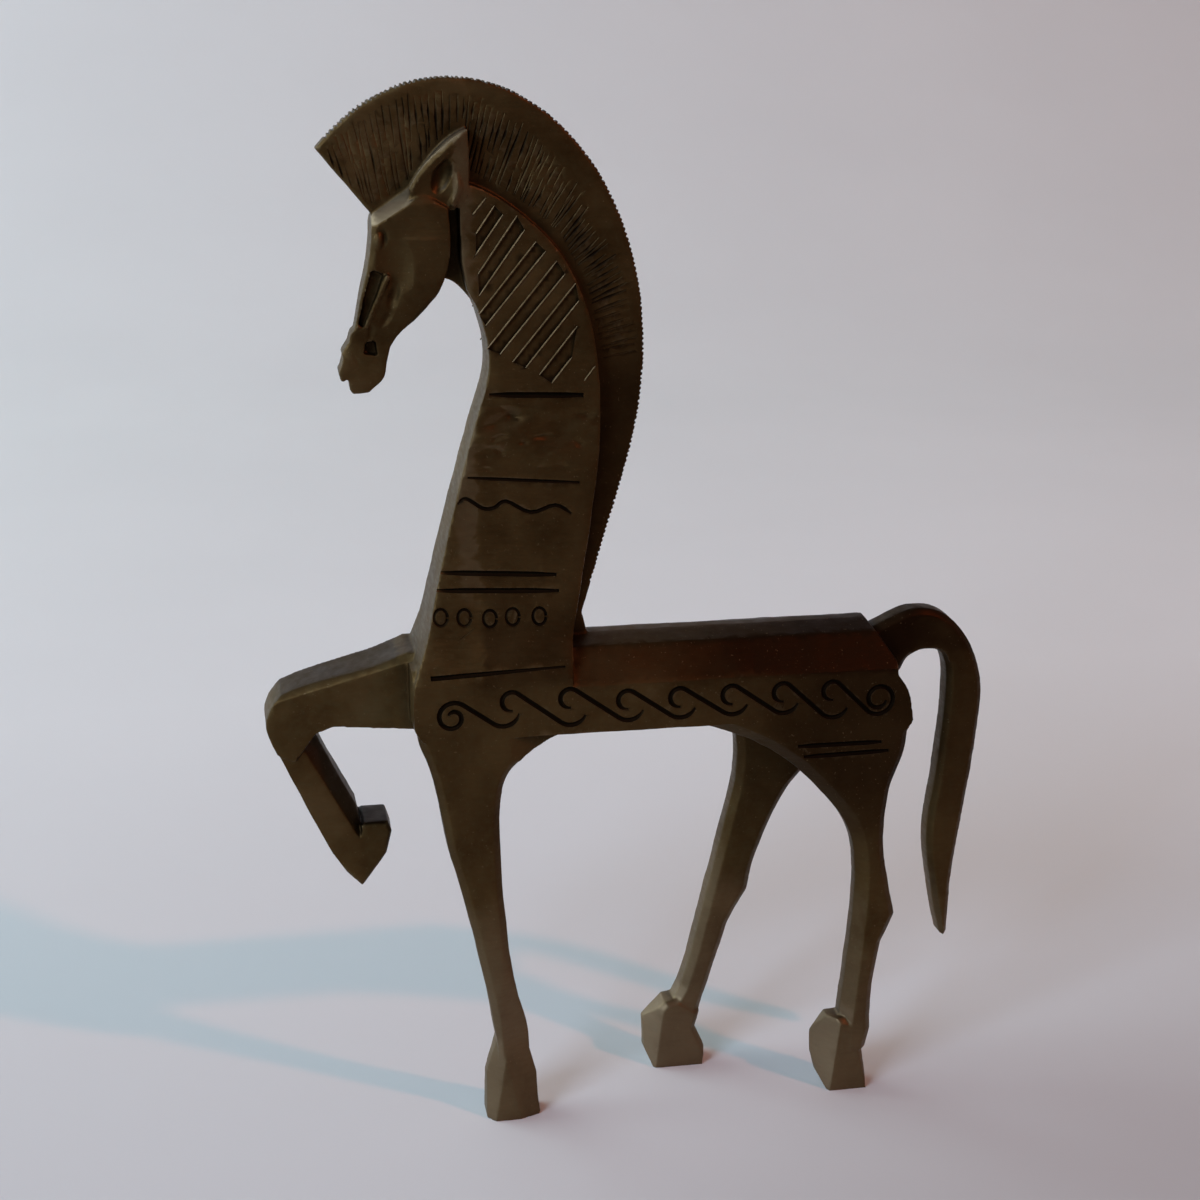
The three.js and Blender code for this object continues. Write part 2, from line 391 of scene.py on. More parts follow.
# The round hollows of one side of the head: centre, radii and lean in degrees. With a lean above 0 the
# lower end is nearer the nose
HEAD_HOLLOWS = [
    # Below the cheekbone, in two parts that run down to the nostril
    ((-35.6, 4.1, 129.6), (1.1, 1.5, 3.4), 16),
    ((-36.8, 3.6, 126.3), (0.9, 1.3, 2.6), 32),
    # Above the nostril
    ((-38.9, 2.9, 124.4), (0.7, 0.9, 1.6), 12),
    # The crease of the muzzle
    ((-40.9, 2.95, 120.7), (0.4, 0.9, 2.1), -26),
    # The eye's socket
    ((-37.2, 4.5, 137.9), (1.15, 1.25, 2.0), 8),
    # The shallow dish of the cheek
    ((-35.3, 5.55, 133.3), (4.0, 2.6, 6.2), 0),
]
NOSE_HOLLOW_DEPTH = 1.05
NOSTRIL_DEPTH = 1.1
BROW_EDGE = 0.7


def on_brow(point):
    """Picks the rim of the forehead and the nose's upper half."""
    return point.z > 125.5 and point.x < -29.5


def head():
    """The wedge of the head, with the hollows beside the nose, the nostrils, the eyes and the mouth."""
    side = outline(
        (-36.5, 144.6),
        [(-38.3, 141)],
        [(-38.6, 137), (-39.2, 133.5), (-40.4, 128.6), (-41.1, 125.1)],
        [(-41.6, 124.7)],
        [(-42.0, 123.3)],
        [(-42.3, 122.9)],
        [(-43.0, 121.7)],
        [(-42.8, 121.2)],
        [(-43.1, 119.8)],
        [(-43.5, 119.1)],
        [(-43.3, 117.8)],
        [(-42.9, 117.6)],
        [(-42.4, 118.1)],
        [(-42.1, 117.6)],
        [(-42.0, 116.4)],
        [(-41.6, 115.8)],
        [(-39.3, 115.9)],
        [(-38.0, 117.0), (-37.0, 118.2), (-36.6, 120.3), (-36.1, 122.5)],
        [(-34.5, 124.7), (-32.8, 126.0), (-30.5, 128.3), (-28.6, 131.2), (-27.3, 136), (-27.5, 142.3)],
        [(-32.3, 145.2)],
    )
    shape = tapered(side, HEAD_WIDTHS, BROW_EDGE, on_brow)
    for vert in shape.verts:
        vert.co.y *= between(vert.co.x, HEAD_SPREAD)
    beside_nose = side_points((-38.5, 133.8), (-36.8, 133.1), (-38.1, 129.4), (-39.7, 125.3), (-40.5, 125.8),
                              (-39.7, 129.6))
    nostril = side_points((-39.6, 123.2), (-38.2, 123.5), (-37.9, 121.3), (-39.9, 121.6))
    tools = []
    for across in (NEAR, FAR):
        shape = planed(shape, (-38.4, across * 1.5, 141.3), (-1.97, across * 1.9, 2.9))
        tools.append(recess(beside_nose, on_head, NOSE_HOLLOW_DEPTH, across))
        tools.append(recess(nostril, on_head, NOSTRIL_DEPTH, across))
        for (x, y, z), radii, lean in HEAD_HOLLOWS:
            tools.append(blob((x, across * y, z), radii, (0, lean, 0)))
    return carved(shape, *tools)


def eyes():
    """The almond of each eye, lying in its socket."""
    return [blob((-37.5, across * 3.5, 137.9), (0.7, 0.78, 1.4), (0, 8, 0)) for across in (NEAR, FAR)]


def nose_ridges():
    """The thin ridge behind the hollow of each side of the nose."""
    ridges = Strokes()
    ridge = straight((-36.2, 133.0), (-39.5, 125.4))
    ridges.stroke(ridge, NOSE_RIDGE, on_head, lift=-0.02, taper=(0.8, 0.8))
    return ridges.shape()


def throat():
    """The block that joins the cheeks to the neck behind a deep gap."""
    side = outline(
        (-35, 143),
        [(-33.5, 133.6)],
        [(-31.2, 132.0), (-28.6, 132.2), (-26.2, 131.2), (-23.5, 128.0)],
        [(-20, 128)],
        [(-20, 144.5)],
    )
    return slab(side, -THROAT_HALF, THROAT_HALF)


# Height and side pairs of the ear's outer side, which leans out to its tip
EAR_LEAN = [(141.8, 3.6), (146.5, 4.0), (151, 4.7), (154, 4.9)]
EAR_ROOT = 1


def on_ear(point):
    """How far the ear's outer side lies from the middle at this point."""
    return between(point.z, EAR_LEAN)


def ears():
    """The leaf of each ear: leaning out to its tip, with a round front rim, a hollow and an inner ridge."""
    leaf = outline(
        (-33.4, 143.2),
        [(-32.4, 145.5), (-30.9, 147.8), (-28.9, 150.2), (-26.9, 152.0), (-24.7, 153.3)],
        [(-24.4, 146.5)],
        [(-24.7, 144.3)],
        [(-26.7, 141.8)],
    )
    shape = slab(leaf, -2 * EAR_ROOT, -EAR_ROOT)
    cut_levels(shape, [level for level, _ in EAR_LEAN])
    for vert in shape.verts:
        if vert.co.y < -1.5 * EAR_ROOT:
            vert.co.y = -on_ear(vert.co)
    shape = carved(shape, blob((-28.4, -5.0, 146.6), (1.5, 2.2, 2.9), (0, 22, 0)))
    rims = Strokes()
    front = smooth_run(side_points(
        (-32.9, 144.0), (-31.6, 146.3), (-30.0, 148.2), (-28.0, 150.1), (-26.2, 151.7), (-25.2, 152.6)), 3)
    rims.stroke(front, 0.9, on_ear, (NEAR,), lift=-0.35, taper=(0.8, 0.5), ends=6)
    inner = smooth_run(side_points((-26.3, 147.6), (-26.1, 146.2), (-26.1, 144.7), (-27.0, 142.6)), 3)
    rims.stroke(inner, 0.7, on_ear, (NEAR,), lift=-0.1, taper=(0.5, 0.9), ends=4)
    rim_shape = rims.shape()
    return [shape, mirrored(shape), rim_shape, mirrored(rim_shape)]


def leg(front, rear, corner):
    """A leg on the left of the horse between its front and its rear side outline. Its outer front corner is
    planed off as wide as the corner, its other corners less, up to where the leg runs into the body."""

    def at_front(place):
        """Picks the outer front corner."""
        if place.y > -HALF_WIDTH + SAME_PLACE:
            return False
        return any(math.hypot(place.x - point.x, place.z - point.z) < 2 * SAME_PLACE for point in front)

    def elsewhere(place):
        """Picks the other corners of the free leg."""
        return place.z < LEG_TOP and not at_front(place)

    return slab(front + rear, -HALF_WIDTH, -LEG_INNER, (LEG_EDGE, elsewhere), (corner, at_front))


def standing_foreleg():
    """The left foreleg down to the pastern."""
    front = outline(
        (CHEST + 0.2, 68),
        [(-33.9, 63.8)],
        [(-31.7, 57), (-29.8, 46.5), (-27.8, 38.8), (-25.9, 30.2), (-24.1, 21.3), (-22.7, 12.5)],
        [(-22.5, 8)],
    )
    rear = outline(
        (-17.6, 8),
        [(-17.6, 12)],
        [(-18, 15.9), (-20.1, 24.5), (-21.3, 35.5), (-21.8, 44), (-21.8, 53.4), (-20.2, 58.6), (-15.6, 62),
         (-8, BELLY)],
        [(-4, 68)],
    )
    shape = leg(front, rear, LEG_EDGE)
    return planed(shape, (-22.0, -HALF_WIDTH, 25), (0.42, -1, -0.02))


def left_hind_leg():
    """The left hind leg with its hock."""
    front = outline(
        (4, 68),
        [(8, BELLY)],
        [(14.4, 62.1), (20.9, 58.6), (25.9, 54.4), (32.4, 46.7), (34.4, 40), (34.5, 32), (33.8, 23.1),
         (33.1, 16.4), (32.6, 11.4)],
        [(32.4, 7)],
    )
    rear = outline(
        (37.0, 7),
        [(37.7, 10.4)],
        [(37.9, 18), (39, 25.4)],
        [(41.1, 30.2)],
        [(39.8, 36), (38.8, 43.5), (39.5, 51.4), (41.6, 57.6), (RUMP, 63.5)],
        [(RUMP - 0.4, 67)],
    )
    return leg(front, rear, LEFT_HIND_CORNER)


def right_hind_leg():
    """The right hind leg, set further forward."""
    front = outline(
        (4, 68),
        [(8, BELLY)],
        [(14.6, 62), (17.7, 58), (17.9, 50.5), (16, 41.5), (12.7, 27.5), (10.6, 18.6), (9.2, 14)],
        [(7.4, 10.5)],
        [(7.2, 7)],
    )
    rear = outline(
        (11.6, 7),
        [(12.4, 9.6)],
        [(14.1, 15.3), (16.9, 24.6)],
        [(20.1, 30.6)],
        [(21.6, 36.9), (25, 45), (28.9, 50.5), (36, 55.2), (41.4, 60.3), (RUMP, 65)],
        [(RUMP - 0.4, 67)],
    )
    return mirrored(leg(front, rear, LEG_EDGE))


def above_sole(point):
    """Picks every point but those of the sole."""
    return point.z > SAME_PLACE


def hoof(*profile):
    """A hoof of this side profile on the left of the horse, with its corners cut away above the sole."""
    outer, inner = -HALF_WIDTH + HOOF_INSET, -LEG_INNER + 2 * HOOF_INSET
    return slab(side_points(*profile), outer, inner, (HOOF_EDGE, above_sole))


def hooves():
    """The three hooves that carry the horse."""
    fore = hoof((-24.5, 0), (-16.0, 0), (-16.4, 4.3), (-16.5, 7.1), (-17.8, 12), (-22.6, 14), (-24.4, 7.4))
    fore = planed(fore, (-23.0, -HALF_WIDTH, 0.6), (-1, -0.9, 0.16))
    fore = planed(fore, (-22, -HALF_WIDTH + 0.24, 13), (0.42, -1, 0.1))
    fore = carved(fore, blob((-16.9, -8.9, 6.1), (0.9, 1.5, 1.9), (0, -8, 0)))
    left = hoof((30.8, 0), (37.2, 0), (36.9, 3.8), (36.3, 8), (37.4, 11.0), (33.2, 12.6), (31.0, 12.4),
                (28.5, 8.8), (28.7, 5.4), (29.6, 2.1))
    left = planed(left, (32.0, -HALF_WIDTH + HOOF_INSET, 6.8), (-1, -0.75, 0.12))
    right = hoof((4.6, 0), (12.8, 0), (13.2, 3.1), (11.6, 6.8), (12.4, 9.6), (9, 12), (6.6, 11.6),
                 (3.2, 8.0), (3.4, 2.7))
    right = planed(mirrored(right), (5.9, LEG_INNER - 2 * HOOF_INSET, 8), (-1, -0.75, 0.12))
    return [fore, left, right]


# Where the forearm's inner side lies, from the knee to the chest
FOREARM_INNER = [(-57, 0.8), (CHEST + 3, -2)]


def off_the_joint(point):
    """Picks the rim of the raised hoof, but not where the hoof meets the shank."""
    return point.x > -45 and not (point.x < -43 and point.z > 46)


def raised_foreleg():
    """The right foreleg: the forearm held out level, the shank folded back and the hoof."""
    forearm = slab(outline(
        (CHEST + 2, 63.8),
        [(-46.1, 64.5)],
        [(-48.7, 63.4)],
        [(-52, 59)],
        [(-54.6, 60.1)],
        [(-56.1, 64.4), (-55.4, 67.4), (-53.7, 69.6)],
        [(-50, 71), (-39.8, 73.8), (CHEST, 75.8)],
        [(CHEST + 2, 75.8)],
    ), 0, 1)
    for vert in forearm.verts:
        inner = between(vert.co.x, FOREARM_INNER)
        vert.co.y = inner + (HALF_WIDTH - inner) * vert.co.y
    forearm = planed(forearm, (-45, -0.52, 71.5), (-0.287, -0.7, 0.7))
    shank = slab(outline(
        (-54.8, 61),
        [(-50.2, 50.6), (-46.8, 43.4)],
        [(-41.9, 45.4)],
        [(-42.8, 50.2)],
        [(-46.2, 56.9), (-48.7, 62.4)],
        [(-51, 66)],
    ), RAISED_LEG_INNER, RAISED_SHANK_OUTER)
    shank = planed(shank, (-45.9, 1.6, 53), (0.72, -0.57, 0.38))
    profile = side_points((-46.8, 43.4), (-44.7, 40), (-42.4, 37.6), (-38.4, 42.8), (-37.6, 46.4),
                          (-38.2, 48.1), (-41.8, 48.1), (-43.4, 46.6))
    foot = slab(profile, RAISED_LEG_INNER, RAISED_HOOF_OUTER, (RAISED_HOOF_EDGE, off_the_joint))
    foot = carved(foot, blob((-42.9, 0.9, 46.9), (0.7, 1.6, 1.5)))
    return [forearm, shank, foot]


def tail():
    """The tail, arched out from the croup and hanging to a point."""
    return slab(outline(
        (34, 74.8),
        [(38, 76.2), (44.1, 78.7), (49.5, 77.6), (54, 72.4), (56.1, 64.7), (55.2, 52.7), (52.7, 33.9),
         (52.3, 23.4)],
        [(51.9, 22.4)],
        [(51.1, 23)],
        [(49.6, 29.6), (48.1, 40.5), (49.3, 51.5), (50.3, 65.1), (49.5, 70.8), (46.7, 72), (43.9, 71),
         (42.5, 68.8)],
        [(38, 66)],
        [(34, 68)],
    ), -TAIL_HALF, TAIL_HALF, (TAIL_EDGE, anywhere))


def on_neck(point):
    """How far the neck's side lies from the middle at this point."""
    return between(point.z, NECK_WIDTHS)


def on_body(point):
    """How far the body's side lies from the middle."""
    return HALF_WIDTH


# The edges of the slanted bands of the upper neck, from their lower to their upper ends
BAND_EDGES = [
    ((-24.0, 141.3), (-22.1, 143.6)),
    ((-23.6, 138.6), (-20.9, 142.5)),
    ((-23.7, 135.6), (-19.7, 141.2)),
    ((-23.4, 132.9), (-17.7, 141.0)),
    ((-23.3, 129.8), (-16.6, 139.0)),
    ((-23.4, 127.1), (-15.0, 137.3)),
    ((-22.4, 125.5), (-13.6, 135.9)),
    ((-22.3, 122.1), (-12.0, 134.5)),
    ((-20.4, 121.3), (-10.8, 132.6)),
    ((-18.6, 120.1), (-9.3, 131.2)),
    ((-16.7, 119.2), (-8.8, 128.7)),
    ((-14.7, 118.1), (-9.1, 125.0)),
    ((-12.9, 116.8), (-9.9, 120.5)),
    ((-8.1, 117.0), (-6.5, 119.1)),
]
BAND_DEPTH = 0.3
LIP_RADIUS = 0.17


def band_cutters():
    """The tools that sink every second strip between the band edges, on both sides of the neck."""
    cutters = []
    for first, second in zip(BAND_EDGES[1:-1:2], BAND_EDGES[2:-1:2]):
        corners = side_points(first[0], second[0], second[1], first[1])
        cutters += [recess(corners, on_neck, BAND_DEPTH, side) for side in (NEAR, FAR)]
    return cutters


def band_lips():
    """The thin burrs that stand along the band edges."""
    lips = Strokes()
    for start, end in BAND_EDGES:
        lips.stroke(straight(start, end, 8), LIP_RADIUS, on_neck, taper=(0.5, 0.5), ends=1)
    return lips


class Strokes:
    """The engraver's lines as tubes along the surface, to be sunk in it or raised on it."""

    def __init__(self):
        self.tracks = []

    def stroke(self, points, radius, surface, sides=(NEAR, FAR), lift=0.0, taper=(1.0, 1.0), ends=2):
        """A line through side plane points. Its ends narrow to the two taper shares."""
        for side in sides:
            track = [Vector((point.x, side * (surface(point) + lift), point.z)) for point in points]
            last = len(track) - 1
            widths = []
            for index in range(last + 1):
                near_start = min(index / ends, 1)
                near_end = min((last - index) / ends, 1)
                share = min(taper[0] + (1 - taper[0]) * near_start, taper[1] + (1 - taper[1]) * near_end)
                widths.append(radius * share)
            self.tracks.append((track, widths))

    def shape(self):
        """All the tubes as one closed shape."""
        curve = bpy.data.curves.new("strokes", "CURVE")
        curve.dimensions = "3D"
        curve.fill_mode = "FULL"
        curve.bevel_depth = 1
        curve.bevel_resolution = 1
        curve.use_fill_caps = True
        for track, widths in self.tracks:
            spline = curve.splines.new("POLY")
            spline.points.add(len(track) - 1)
            for knot, place, width in zip(spline.points, track, widths):
                knot.co = (*place, 1)
                knot.radius = width
        holder = bpy.data.objects.new("strokes", curve)
        bpy.context.scene.collection.objects.link(holder)
        mesh = evaluated(holder)
        discard(holder)
        bm = bmesh.new()
        bm.from_mesh(mesh)
        bpy.data.meshes.remove(mesh)
        bmesh.ops.remove_doubles(bm, verts=bm.verts, dist=WELD)
        bmesh.ops.recalc_face_normals(bm, faces=bm.faces)
        return bm

    def tool(self):
        """All the tubes as one object."""
        return mesh_object("strokes", self.shape())


def straight(start, end, steps=6):
    """Points along a straight line in the side plane."""
    first, last = Vector((start[0], 0, start[1])), Vector((end[0], 0, end[1]))
    return [first.lerp(last, index / steps) for index in range(steps + 1)]


# The running scroll: where each small curl has its top, and how low its hook swings
SCROLL = [
    (-20.0, 71.4, 65.7),
    (-11.2, 71.4, 65.9),
    (-2.4, 70.6, 65.8),
    (5.6, 70.5, 65.8),
    (13.7, 70.4, 65.5),
    (21.7, 70.3, 64.3),
    (29.5, 70.1, 64.1),
]
SCROLL_START = (-28.9, 67.9)
SCROLL_END = (36.9, 66.9)
# The radii of the curls and hooks, how steep the lines between them run, and how thick the tool is
CURL_RADIUS = 1.5
HOOK_RADIUS = 2.5
LINE_ANGLE = 36
SCROLL_CUT = 0.43


def scroll_lines():
    """The running scroll's strokes: an opening spiral, the waves and a closing spiral."""
    leave, meet = 90 - LINE_ANGLE, -90 - LINE_ANGLE
    spiral = arc(SCROLL_START, (0.7, HOOK_RADIUS), 150, leave - 360, 30)
    lines = [spiral + arc((-21.3, 68.6), HOOK_RADIUS, meet, -15, 10)]
    for index, (x, top, low) in enumerate(SCROLL):
        line = arc((x, top - CURL_RADIUS), CURL_RADIUS, 275, leave, 14)
        if index < len(SCROLL) - 1:
            follower = SCROLL[index + 1][0]
            line += arc((follower + 0.1, low + HOOK_RADIUS), HOOK_RADIUS, meet, -25, 10)
        else:
            line += arc(SCROLL_END, (2.6, 1.2), meet, meet + 470, 30)
        lines.append(line)
    return lines


# How thick the tools are that cut the smaller marks
RING_CUT = 0.27
HAUNCH_CUT = 0.44
FAR_CUT = 0.34
SCRATCH_CUT = 0.12

# The small rings of the left side, their radius, and how much taller than wide they are
RINGS = [(-30.1, 82.8), (-26.6, 82.6), (-22.8, 82.3), (-19.4, 82.4), (-15.4, 82.3)]
RING_RADIUS = 1.0
RING_STRETCH = 1.25


def side_lines(strokes):
    """The straight, wavy and ringed lines of the neck, the haunch's two lines and one scratch."""
    strokes.stroke(straight((-22.1, 115.4), (-8.2, 114.9), 10), 0.5, on_neck, taper=(0.5, 0.7))
    strokes.stroke(straight((-25.5, 103.3), (-8.9, 101.9), 10), 0.3, on_neck, taper=(0.6, 0.8))
    wave = side_points((-27.0, 99.4), (-25.8, 100.2), (-23.4, 98.7), (-21.7, 98.7), (-19.9, 99.6),
                       (-16.3, 97.8), (-12.6, 98.7), (-10.2, 97.3))
    strokes.stroke([wave[0]] + smooth_run(wave, 4), 0.34, on_neck, (NEAR,), taper=(0.5, 0.5))
    strokes.stroke(straight((-30.0, 89.4), (-12.6, 88.3), 10), 0.48, on_neck, taper=(0.6, 0.6))
    strokes.stroke(straight((-30.6, 86.8), (-12.3, 85.9), 10), 0.46, on_neck, taper=(0.6, 0.6))
    for x, z in RINGS:
        ring = arc((x, z), RING_RADIUS, 0, 352, 16)
        for point in ring:
            point.z = z + (point.z - z) * RING_STRETCH
        strokes.stroke(ring, RING_CUT, on_neck, (NEAR,))
    strokes.stroke(straight((-32.0, 74.1), (-11.8, 74.8)), 0.42, on_neck, taper=(1, 0.45), ends=4)
    for start, end in (((24.2, 59.9), (37.6, 59.8)), ((25.2, 58.1), (38.8, 58.3))):
        strokes.stroke(straight(start, end), HAUNCH_CUT, on_body, taper=(0.6, 0.6), ends=1)
    scratch = straight((-28.2, 78.8), (-25.1, 81.0), 3)
    strokes.stroke(scratch, SCRATCH_CUT, on_neck, (NEAR,), taper=(0.3, 0.3), ends=1)


def side_scroll(strokes):
    """The running scroll of the left side, and two plain lines in its place on the right."""
    for line in scroll_lines():
        strokes.stroke(line, SCROLL_CUT, on_body, (NEAR,), taper=(0.5, 0.5), ends=4)
    for front, rear in ((70.2, 69.8), (66.2, 65.8)):
        strokes.stroke(straight((-31, front), (38, rear), 12), FAR_CUT, on_body, (FAR,))


# Where the strands end: along the brow, round the ear and down the neck
MANE_INNER = [
    (-37.6, 142.6), (-33.2, 145.2), (-30.9, 148.6), (-28.9, 151.0), (-24.9, 154.2), (-24.3, 147.0),
    (-17.3, 143.4), (-11.2, 137.9), (-7.0, 130.5), (-4.9, 121), (-4.3, 110),
]
# By the angle on the crest: which way the strands point, and how far from the rim they start
STRAND_LEAN = [
    (0, 10), (12, 20), (22, 32), (34, 47), (50, 60), (61, 67), (74, 73), (90, 90), (121, 104), (132, 109),
]
STRAND_START = [
    (0, 1.4), (12, 2.0), (22, 3.2), (34, 4.6), (50, 4.4), (65, 3.4), (90, 2.3), (115, 1.7), (132, 1.5),
]
# By the same angle: how thick the strands are beside the thickest
STRAND_FADE = [(-3, 0.65), (12, 1.0), (70, 1.0), (110, 0.8)]
# The angles of the first and the last strand, how far apart strands are and how long and thick they may be
STRAND_ANGLES = (CREST_TIP_ANGLE - 3.5, -3)
STRAND_PITCH = 1.0
STRAND_LENGTHS = (1.5, 19)
STRAND_RADII = (0.19, 0.28)
# How far off the mane's side a stroke's middle lies, how far above the inner line the stroke ends, and the
# steps in which that end is looked for
STRAND_LIFT = 0.025
STRAND_MARGIN = 0.5
STRAND_STEP = 0.3


def mane_strokes(passes, seed):
    """The strands of the mane: uneven chisel strokes that start short of the rim and run in to the neck.
    Neighbours go to different passes, so that no pass holds strokes that touch."""
    chance = random.Random(seed)
    shortest, longest = STRAND_LENGTHS
    for side in (NEAR, FAR):
        angle, last_angle = STRAND_ANGLES
        count = 0
        while angle > last_angle:
            lean = math.radians(between(angle, STRAND_LEAN) + chance.uniform(-2.0, 2.0))
            inward = Vector((-math.cos(lean), 0, -math.sin(lean)))
            rim = crest_point(angle)
            start = between(angle, STRAND_START) * chance.uniform(0.8, 1.25)
            reach = start
            while reach < longest:
                point = rim + inward * reach
                if point.z < between(point.x, MANE_INNER) + STRAND_MARGIN:
                    break
                reach += STRAND_STEP
            radius = chance.uniform(*STRAND_RADII) * between(angle, STRAND_FADE)
            if reach - start > shortest:
                first, last = rim + inward * start, rim + inward * reach
                hand_cut(passes[count % 2], first, last, radius, side, chance)
            count += 1
            turn = math.radians(angle)
            speed = math.hypot(CREST_HALF_LENGTH * math.sin(turn), CREST_HEIGHT * math.cos(turn))
            angle -= math.degrees(STRAND_PITCH * chance.uniform(0.85, 1.15) / speed)


def hand_cut(strokes, first, last, radius, side, chance):
    """One strand, cut in one go or, when it is long, in two that do not quite meet."""
    if (last - first).length < 6 or chance.random() < 0.35:
        whole = bent(first, last, chance)
        strokes.stroke(whole, radius, mane_side, (side,), STRAND_LIFT, taper=(0.4, 0.5))
        return
    share = chance.uniform(0.35, 0.65)
    slip = Vector((chance.uniform(-0.2, 0.2), 0, chance.uniform(-0.2, 0.2)))
    outer = bent(first, first.lerp(last, share - 0.02), chance)
    strokes.stroke(outer, radius, mane_side, (side,), STRAND_LIFT, taper=(0.4, 0.3))
    inner = bent(first.lerp(last, share + 0.03) + slip, last + slip, chance)
    strokes.stroke(inner, radius * 0.95, mane_side, (side,), STRAND_LIFT, taper=(0.3, 0.5))


def mane_side(point):
    """How far the mane's side lies from the middle."""
    return MANE_HALF


def pick(points, part):
    """The point at this share of the way along a list of points, by length."""
    lengths = [(after - before).length for before, after in zip(points, points[1:])]
    goal = part * sum(lengths)
    for index, length in enumerate(lengths):
        if goal <= length:
            return points[index].lerp(points[index + 1], goal / length)
        goal -= length
    return points[-1].copy()


def bent(start, end, chance):
    """A short hand-cut line, a little bent."""
    slack = 0.12
    shift = Vector((chance.uniform(-slack, slack), 0, chance.uniform(-slack, slack)))
    middle = start.lerp(end, 0.5) + shift
    return [start, start.lerp(middle, 0.5), middle, middle.lerp(end, 0.5), end]


# How far apart the rim's notches are, how thick the strokes that cut them are, and how far these reach
NOTCH_PITCH = 0.74
NOTCH_RADII = (0.24, 0.32)
NOTCH_REACH = 2.2


def rim_notches(strokes, seed):
    """The fine notches across the mane's rim, from the front tip to the withers."""
    chance = random.Random(seed)
    rim = mane_rim()
    length = sum((after - before).length for before, after in zip(rim, rim[1:]))
    count = int(length / NOTCH_PITCH)
    for index in range(3, count - 6):
        place = pick(rim, (index + chance.uniform(-0.12, 0.12)) / count)
        radius = chance.uniform(*NOTCH_RADII)
        lean = chance.uniform(-0.15, 0.15)
        track = [place + Vector((lean * step, NOTCH_REACH * step, 0)) for step in (-1, 0, 1)]
        strokes.tracks.append((track, [radius] * 3))


# The scarred patch: where it starts and ends along and up the neck, how far in from there it is full, and
# how rough it is
PATCH_X = (-26, -6)
PATCH_Z = (103.6, 114.6)
PATCH_FADE = (3, 1.5)
PATCH_SWELL = 0.75
PATCH_CHIP = 1.3


def rough_patch(bm):
    """The scarred patch of the neck between its two upper lines, left as the casting shows it."""
    front, rear = PATCH_X
    low, high = PATCH_Z
    along, up = PATCH_FADE
    for vert in bm.verts:
        x, y, z = vert.co
        if y < -3 and front < x < rear and low < z < high:
            fade = min((z - low) / up, (high - z) / up, (x - front) / along, (rear - x) / along, 1)
            swell = noise.noise(Vector((x * 0.13, 3.1, (z - 0.35 * x) * 0.38)))
            chip = noise.noise(Vector((x * 0.4, 7.7, z * 0.8)))
            depth = PATCH_SWELL * swell - PATCH_CHIP * max(chip - 0.25, 0)
            vert.co.y -= fade * depth


def clouds(made, size, strength):
    """Gives the surface the slight unevenness of a casting."""
    texture = bpy.data.textures.new("casting", "CLOUDS")
    texture.noise_scale = size
    texture.noise_depth = 1
    change = made.modifiers.new("casting", "DISPLACE")
    change.texture = texture
    change.texture_coords = "LOCAL"
    change.strength = strength
    change.mid_level = 0.5


def cast_body(sizes):
    """All the horse's forms joined in one skin, softened as a casting and thinned where it is flat."""
    forms = [trunk(), neck(), mane(), head(), throat()]
    forms += [standing_foreleg(), left_hind_leg(), right_hind_leg(), tail()]
    forms += ears() + eyes() + hooves() + raised_foreleg() + [nose_ridges()]
    body = mesh_object("horse", *forms)
    skin = body.modifiers.new("skin", "REMESH")
    skin.mode = "VOXEL"
    skin.voxel_size = sizes.casting_grain / MM
    settled(body)
    bm = bmesh.new()
    bm.from_mesh(body.data)
    rough_patch(bm)
    bm.to_mesh(body.data)
    bm.free()
    soft = body.modifiers.new("soft", "SMOOTH")
    soft.factor = 0.5
    soft.iterations = 3
    clouds(body, size=5.0, strength=0.2)
    clouds(body, size=1.6, strength=0.07)
    thin = body.modifiers.new("thin", "DECIMATE")
    thin.ratio = sizes.plain_triangles / (2 * len(body.data.polygons))
    thin.use_collapse_triangulate = True
    return settled(body)


def cut(body, tool, operation="DIFFERENCE"):
    """Cuts the tool out of the body, or joins it on."""
    change = body.modifiers.new("cut", "BOOLEAN")
    change.operation = operation
    change.solver = "MANIFOLD"
    change.object = tool
    settled(body)
    discard(tool)


def engrave(body, sizes):
    """Cuts the bands, the lines, the scroll and the mane's strands and notches. Returns the skin before and
    after the bands, which the patina's depths are measured from."""
    whole = body.data.copy()
    cut(body, mesh_object("bands", *band_cutters()))
    cut(body, band_lips().tool(), "UNION")
    banded = body.data.copy()
    lines = Strokes()
    side_lines(lines)
    side_scroll(lines)
    cut(body, lines.tool())
    strands = [Strokes(), Strokes()]
    mane_strokes(strands, sizes.hand)
    for part in strands:
        cut(body, part.tool())
    teeth = Strokes()
    rim_notches(teeth, sizes.hand + 1)
    cut(body, teeth.tool())
    return whole, banded


def inside_box(body):
    """Keeps the skin inside the solid's size, which the casting's unevenness would pass by a hair."""
    low, high = (Vector(corner) for corner in cad_box)
    for vert in body.data.vertices:
        vert.co = [min(max(value, least), most) for value, least, most in zip(vert.co, low, high)]


# The rays start this far off the skin, in metres, and count a cut down to this depth
RAY_START = 0.00003
SIDE_START = 0.00002
DEEPEST_CUT = 0.0012


def write_values(mesh, name, values):
    """Writes one value for each point, for the patina to read."""
    mesh.attributes.new(name, "FLOAT", "POINT").data.foreach_set("value", values)


def ray_tree(mesh):
    """The mesh in the form that rays are cast against."""
    places = [vert.co for vert in mesh.vertices]
    return BVHTree.FromPolygons(places, [face.vertices for face in mesh.polygons])


